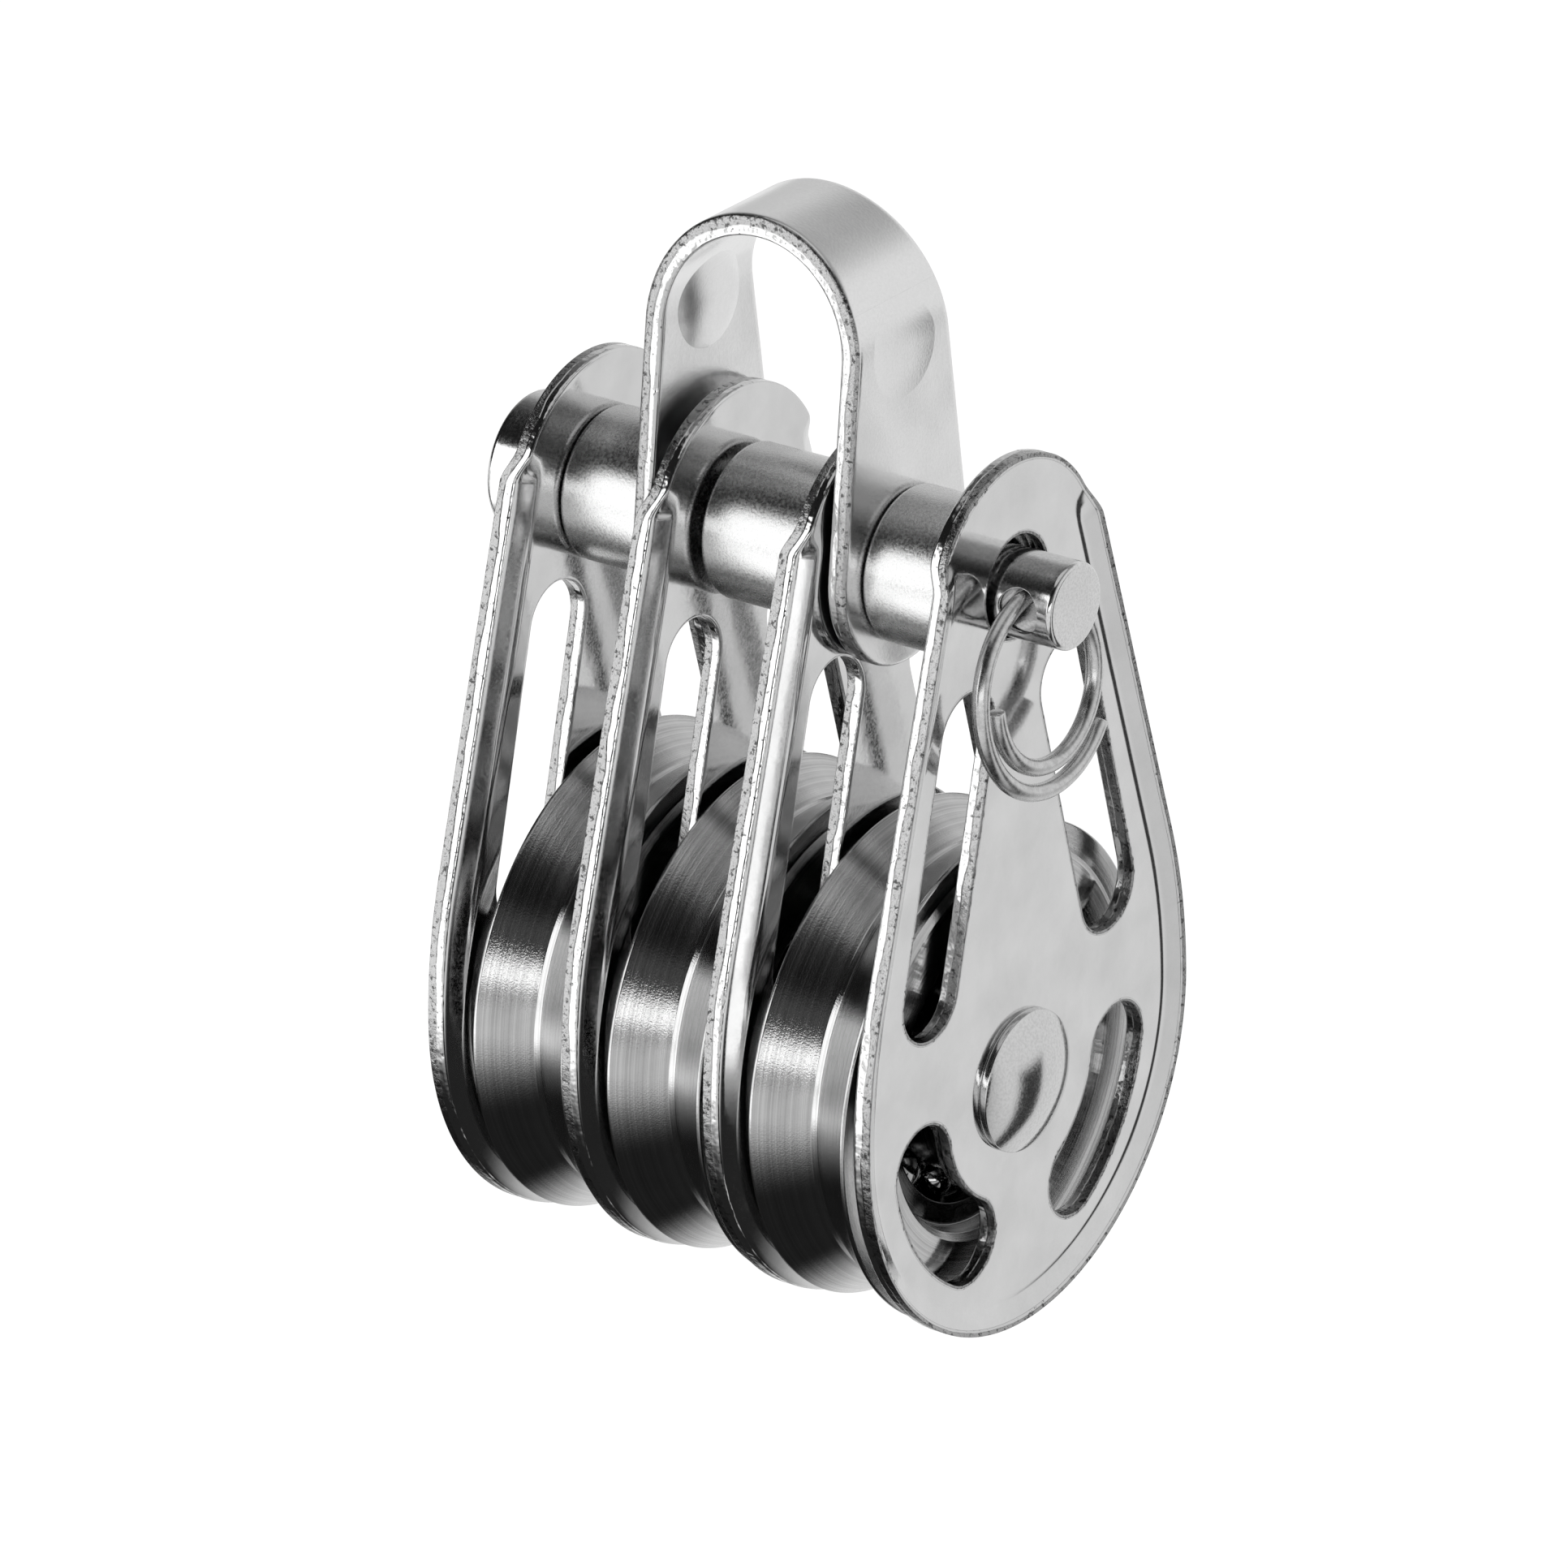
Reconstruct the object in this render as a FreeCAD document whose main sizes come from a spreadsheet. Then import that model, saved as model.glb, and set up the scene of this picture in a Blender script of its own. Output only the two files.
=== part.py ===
# Triple pulley block: three sheaves side by side between four pressed steel cheeks,
# hung from a swinging bow by a clevis pin with a split ring.
# Millimetres. X runs along the axle, Z up, and the origin is the seat of the bow's eye.

import FreeCAD, Part
import Sketcher
import math
import os

from FreeCAD import Vector, Rotation

document = FreeCAD.newDocument("TriplePulleyBlock")

# Driving dimensions
sizes = {
    # cheeks: four like pressings of one sheet
    "sheet_thickness": 1.3,
    "flare_depth": 0.85,
    "flare_width": 1.7,
    "cheek_head_radius": 9.3,
    "shoulder_rise": 4.95,
    "flank_radius": 38.0,
    "belly_radius": 18.6,
    "belly_rise": 1.0,
    "pin_rise": 35.55,
    # room that each bay between two cheeks has beyond its sheave's width
    "left_room": 2.0,
    "middle_room": 2.44,
    "right_room": 1.3,
    # openings in the cheeks
    "slot_radius": 3.0,
    "slot_low_across": 10.3,
    "slot_low_rise": 10.1,
    "slot_high_across": 5.7,
    "slot_high_rise": 27.2,
    "window_inner": 8.5,
    "window_outer": 14.5,
    "window_high_angle": 10.0,
    "window_low_angle": 59.0,
    "pin_hole_clearance": 0.5,
    "pin_hole_lift": 0.4,
    # axle, riveted over at both ends
    "axle_radius": 3.0,
    "axle_fit": 0.04,
    "rivet_head_radius": 5.0,
    "rivet_head_edge": 0.5,
    "rivet_dome": 1.4,
    # sheaves
    "sheave_radius": 17.4,
    "sheave_width": 8.0,
    "sheave_gap": 0.55,
    "rim_land": 0.4,
    "groove_radius": 15.3,
    "groove_land": 1.0,
    # ball races
    "ball_radius": 1.6,
    "ball_circle": 8.4,
    "ball_count": 12,
    "race_clearance": 0.05,
    "race_lip": 0.5,
    # clevis pin
    "pin_radius": 3.0,
    "pin_head_radius": 5.1,
    "pin_head_thickness": 3.0,
    "pin_head_play": 2.1,
    "pin_end_reach": 4.67,
    "pin_chamfer": 0.3,
    "cross_hole_reach": 2.05,
    "cross_hole_radius": 1.6,
    # spacer tubes on the clevis pin
    "tube_radius": 5.4,
    "tube_fit": 0.3,
    "tube_end_gap": 0.1,
    "middle_tube_gap": 0.5,
    # bow
    "bow_thickness": 1.5,
    "bow_side_room": 0.255,
    "bow_shift": 0.075,
    "bow_end_radius": 7.1,
    "bow_crown_half": 4.0,
    "bow_height": 22.3,
    "bow_pin_fit": 0.3,
    "dimple_radius": 2.9,
    "dimple_depth": 0.25,
    "dimple_rise": 14.75,
    # split ring
    "wire_radius": 0.6,
    "ring_start_radius": 5.22,
    "ring_growth": 1.68,
    "ring_turns": 1.39,
    "ring_lift": 0.75,
    "ring_shift": 0.9,
    "ring_tilt": 5.0,
}

sheet = document.addObject("Spreadsheet::Sheet", "Sizes")
for row, (alias, number) in enumerate(sizes.items(), start=1):
    sheet.set(f"A{row}", alias.replace("_", " "))
    sheet.set(f"B{row}", str(number))
    sheet.setAlias(f"B{row}", alias)
document.recompute()


def value(formula):
    """The number that a formula of the sheet's names gives now."""
    return float(sheet.evalExpression(formula))


# Planes across the axle, from the middle of the four cheeks
leftBay = "(Sizes.sheave_width+Sizes.left_room)"
middleBay = "(Sizes.sheave_width+Sizes.middle_room)"
rightBay = "(Sizes.sheave_width+Sizes.right_room)"
outerFace = f"((4*Sizes.sheet_thickness+{leftBay}+{middleBay}+{rightBay})/2)"
leftBayStart = f"(Sizes.sheet_thickness-{outerFace})"
leftBayEnd = f"({leftBayStart}+{leftBay})"
middleBayStart = f"({leftBayEnd}+Sizes.sheet_thickness)"
middleBayEnd = f"({middleBayStart}+{middleBay})"
rightBayStart = f"({middleBayEnd}+Sizes.sheet_thickness)"
rightBayEnd = f"({rightBayStart}+{rightBay})"

# Heights below the bow's eye
pinHeight = "(-Sizes.bow_height)"
axleHeight = "(-Sizes.bow_height-Sizes.pin_rise)"

# The bow's arms across the axle, clear of the inner cheeks and of the rim that flares to the left
cheeksLeft = f"({middleBayStart}-Sizes.sheet_thickness-Sizes.flare_depth)"
cheeksRight = f"({middleBayEnd}+Sizes.sheet_thickness)"
bowMiddle = f"(({cheeksLeft}+{cheeksRight})/2+Sizes.bow_shift)"
bowInnerHalf = f"(({cheeksRight}-{cheeksLeft})/2+Sizes.bow_side_room)"
bowOuterHalf = f"({bowInnerHalf}+Sizes.bow_thickness)"
bowLeft = f"({bowMiddle}-{bowOuterHalf})"
bowRight = f"({bowMiddle}+{bowOuterHalf})"

bays = {
    "left": (leftBayStart, leftBayEnd),
    "middle": (middleBayStart, middleBayEnd),
    "right": (rightBayStart, rightBayEnd),
}

normal = Vector(0, 0, 1)
nodes = []


def newBody(name, across, height, turned=False):
    """An empty body whose own origin stands at the given place on the block's middle plane."""
    body = document.addObject("PartDesign::Body", name)
    body.Label = name
    if turned:
        body.Placement.Rotation = Rotation(Vector(0, 0, 1), 180)
    body.setExpression("Placement.Base.x", across)
    body.setExpression("Placement.Base.z", height)
    nodes.append(body)
    return body


def newSketch(body, name, plane, along="0", up="0"):
    """A sketch on one of the body's own planes, moved along its normal or up."""
    sketch = body.newObject("Sketcher::SketchObject", name)
    for feature in body.Origin.OriginFeatures:
        if feature.Role == plane:
            sketch.AttachmentSupport = [(feature, "")]
    sketch.MapMode = "FlatFace"
    sketch.setExpression("AttachmentOffset.Base.z", along)
    sketch.setExpression("AttachmentOffset.Base.y", up)
    return sketch


def bind(sketch, kind, *references, formula):
    """A dimension of the sketch that follows the sheet."""
    index = sketch.addConstraint(Sketcher.Constraint(kind, *references, value(formula)))
    sketch.setExpression(f"Constraints[{index}]", formula)


def fixPoint(sketch, piece, position, across, up):
    """Holds a point of the sketch at a place given by two formulas."""
    for kind, axis, formula in (("DistanceX", -2, across), ("DistanceY", -1, up)):
        if abs(value(formula)) < 1e-9:
            sketch.addConstraint(Sketcher.Constraint("PointOnObject", piece, position, axis))
        else:
            bind(sketch, kind, -1, 1, piece, position, formula=formula)


def addCircle(sketch, across, up, radius):
    centre = Vector(value(across), value(up), 0)
    piece = sketch.addGeometry(Part.Circle(centre, normal, value(radius)))
    bind(sketch, "Radius", piece, formula=radius)
    fixPoint(sketch, piece, 3, across, up)


def addArc(sketch, centre, radius, start, end):
    """An arc run counter-clockwise between two angles in radians."""
    return sketch.addGeometry(Part.ArcOfCircle(Part.Circle(centre, normal, radius), start, end))


def addProfile(sketch, corners):
    """A closed outline through corners (across, up). A corner that also has a centre (across, up)
    and a turn starts an arc: 1 turns counter-clockwise about that centre, -1 clockwise."""
    points = [Vector(value(corner[0]), value(corner[1]), 0) for corner in corners]
    pieces = []
    for index, corner in enumerate(corners):
        start = points[index]
        end = points[(index + 1) % len(points)]
        if len(corner) == 2:
            pieces.append((sketch.addGeometry(Part.LineSegment(start, end)), 1, 2))
            continue
        (centreAcross, centreUp), turn = corner[2:]
        centre = Vector(value(centreAcross), value(centreUp), 0)
        angles = [math.atan2(point.y - centre.y, point.x - centre.x) for point in (start, end)][::turn]
        piece = addArc(sketch, centre, (start - centre).Length, *angles)
        if abs(centre.y) < 1e-9:
            sketch.addConstraint(Sketcher.Constraint("PointOnObject", piece, 3, -1))
        else:
            bind(sketch, "DistanceY", -1, 1, piece, 3, formula=centreUp)
        pieces.append((piece, 1, 2) if turn > 0 else (piece, 2, 1))
    for index, (piece, start, end) in enumerate(pieces):
        following = pieces[(index + 1) % len(pieces)]
        sketch.addConstraint(Sketcher.Constraint("Coincident", piece, end, following[0], following[1]))
        fixPoint(sketch, piece, start, corners[index][0], corners[index][1])


def revolve(body, sketch):
    """Turns the sketch about the body's X axis."""
    feature = body.newObject("PartDesign::Revolution", "Turned")
    feature.Profile = sketch
    feature.ReferenceAxis = (sketch, ["H_Axis"])
    feature.Angle = 360
    sketch.Visibility = False
    return feature


def pocketThrough(body, sketch, name):
    """Cuts the sketch right through the body, both ways from its plane."""
    document.recompute()
    before = body.Shape.Volume
    feature = body.newObject("PartDesign::Pocket", name)
    feature.Profile = sketch
    feature.Type = "ThroughAll"
    feature.SideType = "Symmetric"
    document.recompute()
    if not feature.Shape.Volume < before:
        raise ValueError(f"{body.Label}: {name} cuts nothing")
    return feature


# Cheeks

def cheekOutline(body, name, along, inset):
    """The flared part of a cheek below its shoulders, drawn smaller by the inset: a belly arc,
    flank arcs that leave it upright, and straight flanks tangent to the head's arc."""
    sketch = newSketch(body, name, "YZ_Plane", along)
    bellyRadius = f"Sizes.belly_radius-{inset}"
    flankRadius = f"Sizes.flank_radius-{inset}"
    headRadius = f"Sizes.cheek_head_radius-{inset}"
    head = Vector(0, value("Sizes.pin_rise"), 0)
    belly = Vector(0, value("Sizes.belly_rise"), 0)
    flankOffset = value("Sizes.flank_radius-Sizes.belly_radius")
    rise = head.y - belly.y
    radiusStep = value("Sizes.flank_radius-Sizes.cheek_head_radius")
    tilt = math.atan2(rise, flankOffset) - math.acos(radiusStep / math.hypot(rise, flankOffset))
    shoulder = math.asin(value("Sizes.shoulder_rise") / value(headRadius))
    leftFlank = belly + Vector(flankOffset, 0, 0)
    rightFlank = belly - Vector(flankOffset, 0, 0)

    def onArc(centre, radius, angle):
        return centre + Vector(math.cos(angle), math.sin(angle), 0) * value(radius)

    top = sketch.addGeometry(Part.LineSegment(
        onArc(head, headRadius, shoulder), onArc(head, headRadius, math.pi - shoulder)))
    headLeft = addArc(sketch, head, value(headRadius), math.pi - shoulder, math.pi - tilt)
    lineLeft = sketch.addGeometry(Part.LineSegment(
        onArc(head, headRadius, math.pi - tilt), onArc(leftFlank, flankRadius, math.pi - tilt)))
    flankLeft = addArc(sketch, leftFlank, value(flankRadius), math.pi - tilt, math.pi)
    bellyArc = addArc(sketch, belly, value(bellyRadius), math.pi, 2 * math.pi)
    flankRight = addArc(sketch, rightFlank, value(flankRadius), 0, tilt)
    lineRight = sketch.addGeometry(Part.LineSegment(
        onArc(rightFlank, flankRadius, tilt), onArc(head, headRadius, tilt)))
    headRight = addArc(sketch, head, value(headRadius), tilt, shoulder)
    smooth = (headLeft, lineLeft, flankLeft, bellyArc, flankRight, lineRight, headRight)
    for piece, following in zip(smooth, smooth[1:]):
        sketch.addConstraint(Sketcher.Constraint("Tangent", piece, 2, following, 1))
    sketch.addConstraint(Sketcher.Constraint("Coincident", top, 2, headLeft, 1))
    sketch.addConstraint(Sketcher.Constraint("Coincident", headRight, 2, top, 1))
    sketch.addConstraint(Sketcher.Constraint("Horizontal", top))
    bind(sketch, "DistanceY", -1, 1, top, 1, formula="Sizes.pin_rise+Sizes.shoulder_rise")
    for piece in (headLeft, headRight):
        bind(sketch, "Radius", piece, formula=headRadius)
        fixPoint(sketch, piece, 3, "0", "Sizes.pin_rise")
    for piece in (flankLeft, flankRight):
        bind(sketch, "Radius", piece, formula=flankRadius)
        bind(sketch, "DistanceY", -1, 1, piece, 3, formula="Sizes.belly_rise")
    bind(sketch, "Radius", bellyArc, formula=bellyRadius)
    fixPoint(sketch, bellyArc, 3, "0", "Sizes.belly_rise")
    return sketch


def addSlot(sketch, side):
    """A slanted slot with round ends beside the cheek's middle; side is 1 or -1."""
    low = Vector(side * value("Sizes.slot_low_across"), value("Sizes.slot_low_rise"), 0)
    high = Vector(side * value("Sizes.slot_high_across"), value("Sizes.slot_high_rise"), 0)
    radius = value("Sizes.slot_radius")
    run = (high - low).normalize()
    beside = Vector(run.y, -run.x, 0) * radius
    heading = math.atan2(run.y, run.x)
    upper = addArc(sketch, high, radius, heading - math.pi / 2, heading + math.pi / 2)
    lower = addArc(sketch, low, radius, heading + math.pi / 2, heading + 3 * math.pi / 2)
    downLine = sketch.addGeometry(Part.LineSegment(high - beside, low - beside))
    upLine = sketch.addGeometry(Part.LineSegment(low + beside, high + beside))
    for piece, following in ((upper, downLine), (downLine, lower), (lower, upLine), (upLine, upper)):
        sketch.addConstraint(Sketcher.Constraint("Tangent", piece, 2, following, 1))
    sketch.addConstraint(Sketcher.Constraint("Equal", upper, lower))
    bind(sketch, "Radius", upper, formula="Sizes.slot_radius")
    fixPoint(sketch, upper, 3, f"{side}*Sizes.slot_high_across", "Sizes.slot_high_rise")
    fixPoint(sketch, lower, 3, f"{side}*Sizes.slot_low_across", "Sizes.slot_low_rise")


def addWindow(sketch, side):
    """A curved window about the axle, below its level; side is 1 or -1."""
    inner = value("Sizes.window_inner")
    outer = value("Sizes.window_outer")
    high = math.radians(value("Sizes.window_high_angle"))
    low = math.radians(value("Sizes.window_low_angle"))
    start, end = (-low, -high) if side > 0 else (math.pi + high, math.pi + low)
    middle = (inner + outer) / 2
    cap = (outer - inner) / 2

    def capCentre(angle):
        return Vector(math.cos(angle), math.sin(angle), 0) * middle

    outerArc = addArc(sketch, Vector(), outer, start, end)
    endCap = addArc(sketch, capCentre(end), cap, end, end + math.pi)
    innerArc = addArc(sketch, Vector(), inner, start, end)
    startCap = addArc(sketch, capCentre(start), cap, start + math.pi, start + 2 * math.pi)
    joints = (
        (outerArc, 2, endCap, 1),
        (endCap, 2, innerArc, 2),
        (innerArc, 1, startCap, 1),
        (startCap, 2, outerArc, 1),
    )
    for joint in joints:
        sketch.addConstraint(Sketcher.Constraint("Tangent", *joint))
    for piece, formula in ((outerArc, "Sizes.window_outer"), (innerArc, "Sizes.window_inner")):
        sketch.addConstraint(Sketcher.Constraint("Coincident", piece, 3, -1, 1))
        bind(sketch, "Radius", piece, formula=formula)
    highCap, lowCap = (endCap, startCap) if side > 0 else (startCap, endCap)
    for piece, angle in ((highCap, "Sizes.window_high_angle"), (lowCap, "Sizes.window_low_angle")):
        drop = f"-(Sizes.window_inner+Sizes.window_outer)/2*sin({angle}*1 deg)"
        bind(sketch, "DistanceY", -1, 1, piece, 3, formula=drop)


def cheek(name, across, turned):
    """One pressed cheek: flat web and head, rim flared towards its own +X."""
    body = newBody(name, across, axleHeight, turned)

    headSketch = newSketch(body, "HeadOutline", "YZ_Plane")
    shoulderHalf = "sqrt(Sizes.cheek_head_radius^2-Sizes.shoulder_rise^2)"
    shoulderHeight = "Sizes.pin_rise+Sizes.shoulder_rise"
    addProfile(headSketch, [
        (shoulderHalf, shoulderHeight, ("0", "Sizes.pin_rise"), 1),
        (f"-{shoulderHalf}", shoulderHeight),
    ])
    headPad = body.newObject("PartDesign::Pad", "Head")
    headPad.Profile = headSketch
    headPad.setExpression("Length", "Sizes.sheet_thickness")

    lower = cheekOutline(body, "WebOutline", "0", "Sizes.flare_width")
    rim = cheekOutline(body, "RimOutline", "Sizes.flare_depth", "0")
    rimTop = cheekOutline(body, "RimTopOutline", "Sizes.flare_depth+Sizes.sheet_thickness", "0")
    blank = body.newObject("PartDesign::AdditiveLoft", "DishedBlank")
    blank.Profile = lower
    blank.Sections = [rim, rimTop]
    blank.Ruled = True
    document.recompute()

    inside = cheekOutline(body, "InsideOutline", "Sizes.sheet_thickness", "Sizes.flare_width")
    insideRim = cheekOutline(body, "InsideRimOutline", "Sizes.flare_depth+Sizes.sheet_thickness", "0")
    dish = body.newObject("PartDesign::SubtractiveLoft", "Dish")
    dish.Profile = inside
    dish.Sections = [insideRim]
    dish.Ruled = True

    openings = newSketch(body, "Openings", "YZ_Plane")
    for side in (1, -1):
        addSlot(openings, side)
        addWindow(openings, side)
    pinHoleRadius = "Sizes.pin_radius+Sizes.pin_hole_clearance"
    addCircle(openings, "0", "Sizes.pin_rise+Sizes.pin_hole_lift", pinHoleRadius)
    addCircle(openings, "0", "0", "Sizes.axle_radius+Sizes.axle_fit")
    pocketThrough(body, openings, "Punched")


cheek("cheek_outer_left", leftBayStart, True)
cheek("cheek_inner_left", middleBayStart, True)
cheek("cheek_inner_right", rightBayStart, True)
cheek("cheek_outer_right", rightBayEnd, False)


# Axle, its sleeves and the sheaves on their balls

def axleRivet():
    """The axle: a plain shank with a domed head at each end."""
    body = newBody("axle_rivet", "0", axleHeight)
    sketch = newSketch(body, "Profile", "XZ_Plane")
    brim = f"({outerFace}+Sizes.rivet_head_edge)"
    tip = f"({brim}+Sizes.rivet_dome)"
    domeRadius = "((Sizes.rivet_head_radius^2+Sizes.rivet_dome^2)/(2*Sizes.rivet_dome))"
    addProfile(sketch, [
        (f"-{tip}", "0", (f"{domeRadius}-{tip}", "0"), -1),
        (f"-{brim}", "Sizes.rivet_head_radius"),
        (f"-{outerFace}", "Sizes.rivet_head_radius"),
        (f"-{outerFace}", "Sizes.axle_radius"),
        (outerFace, "Sizes.axle_radius"),
        (outerFace, "Sizes.rivet_head_radius"),
        (brim, "Sizes.rivet_head_radius", (f"{tip}-{domeRadius}", "0"), -1),
        (tip, "0"),
    ])
    revolve(body, sketch)


sheaveHalf = "Sizes.sheave_width/2"
sleeveLand = "(Sizes.ball_circle-Sizes.ball_radius+Sizes.race_lip)"
boreLand = "(Sizes.ball_circle+Sizes.ball_radius-Sizes.race_lip)"
# each race is a square V whose flanks stand off the balls by the race clearance
raceDepth = "((Sizes.ball_radius+Sizes.race_clearance)*sqrt(2)-Sizes.ball_radius+Sizes.race_lip)"


def sheaveCentre(side):
    return f"({bays[side][0]}+Sizes.sheave_gap+{sheaveHalf})"


def axleSleeve(side):
    """The inner race: a sleeve on the axle that keeps two cheeks apart."""
    start, end = bays[side]
    body = newBody(f"axle_sleeve_{side}", sheaveCentre(side), axleHeight)
    sketch = newSketch(body, "Profile", "XZ_Plane")
    low = f"({start}-{sheaveCentre(side)})"
    high = f"({end}-{sheaveCentre(side)})"
    bore = "Sizes.axle_radius+Sizes.axle_fit"
    addProfile(sketch, [
        (low, bore),
        (low, sleeveLand),
        (f"-{raceDepth}", sleeveLand),
        ("0", f"{sleeveLand}-{raceDepth}"),
        (raceDepth, sleeveLand),
        (high, sleeveLand),
        (high, bore),
    ])
    revolve(body, sketch)


def sheave(side):
    """A sheave with a shallow V groove for the rope and a ball race in its bore."""
    body = newBody(f"sheave_{side}", sheaveCentre(side), axleHeight)
    sketch = newSketch(body, "Profile", "XZ_Plane")
    rimInner = f"({sheaveHalf}-Sizes.rim_land)"
    grooveHalf = "(Sizes.groove_land/2)"
    addProfile(sketch, [
        (f"-{sheaveHalf}", boreLand),
        (f"-{sheaveHalf}", "Sizes.sheave_radius"),
        (f"-{rimInner}", "Sizes.sheave_radius"),
        (f"-{grooveHalf}", "Sizes.groove_radius"),
        (grooveHalf, "Sizes.groove_radius"),
        (rimInner, "Sizes.sheave_radius"),
        (sheaveHalf, "Sizes.sheave_radius"),
        (sheaveHalf, boreLand),
        (raceDepth, boreLand),
        ("0", f"{boreLand}+{raceDepth}"),
        (f"-{raceDepth}", boreLand),
    ])
    revolve(body, sketch)


def ballSet(side):
    """Loose balls spread round the race between sleeve and sheave."""
    count = int(value("Sizes.ball_count"))
    balls = []
    for index in range(count):
        angle = 2 * math.pi * (index + 0.5) / count
        place = Vector(0, math.cos(angle), math.sin(angle)) * value("Sizes.ball_circle")
        balls.append(Part.makeSphere(value("Sizes.ball_radius"), place))
    feature = document.addObject("Part::Feature", f"ball_set_{side}")
    feature.Label = f"ball_set_{side}"
    feature.Shape = Part.makeCompound(balls)
    feature.setExpression("Placement.Base.x", sheaveCentre(side))
    feature.setExpression("Placement.Base.z", axleHeight)
    nodes.append(feature)


axleRivet()
for side in bays:
    axleSleeve(side)
    sheave(side)
    ballSet(side)


# Clevis pin and its spacer tubes

def clevisPin():
    """The headed pin through cheeks, tubes and bow, cross drilled at its free end."""
    body = newBody("clevis_pin", "0", pinHeight)
    sketch = newSketch(body, "Profile", "XZ_Plane")
    headInner = f"(-{outerFace}-Sizes.pin_head_play)"
    headOuter = f"({headInner}-Sizes.pin_head_thickness)"
    end = f"({outerFace}+Sizes.pin_end_reach)"
    addProfile(sketch, [
        (headOuter, "0"),
        (headOuter, "Sizes.pin_head_radius-Sizes.pin_chamfer"),
        (f"{headOuter}+Sizes.pin_chamfer", "Sizes.pin_head_radius"),
        (headInner, "Sizes.pin_head_radius"),
        (headInner, "Sizes.pin_radius"),
        (f"{end}-Sizes.pin_chamfer", "Sizes.pin_radius"),
        (end, "Sizes.pin_radius-Sizes.pin_chamfer"),
        (end, "0"),
    ])
    revolve(body, sketch)
    hole = newSketch(body, "CrossHole", "XZ_Plane")
    addCircle(hole, f"{outerFace}+Sizes.cross_hole_reach", "0", "Sizes.cross_hole_radius")
    pocketThrough(body, hole, "CrossDrilled")


def spacerTube(side, start, end):
    """A plain tube on the clevis pin between two given planes."""
    body = newBody(f"spacer_tube_{side}", start, pinHeight)
    sketch = newSketch(body, "Ring", "YZ_Plane")
    addCircle(sketch, "0", "0", "Sizes.tube_radius")
    addCircle(sketch, "0", "0", "Sizes.pin_radius+Sizes.tube_fit")
    pad = body.newObject("PartDesign::Pad", "Tube")
    pad.Profile = sketch
    pad.setExpression("Length", f"{end}-{start}")


clevisPin()
spacerTube("left", f"({leftBayStart}+Sizes.tube_end_gap)", f"({bowLeft}-Sizes.tube_end_gap)")
spacerTube("middle", f"({middleBayStart}+Sizes.middle_tube_gap)", f"({middleBayEnd}-Sizes.tube_end_gap)")
spacerTube("right", f"({bowRight}+Sizes.tube_end_gap)", f"({rightBayEnd}-Sizes.tube_end_gap)")


# Bow

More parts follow.
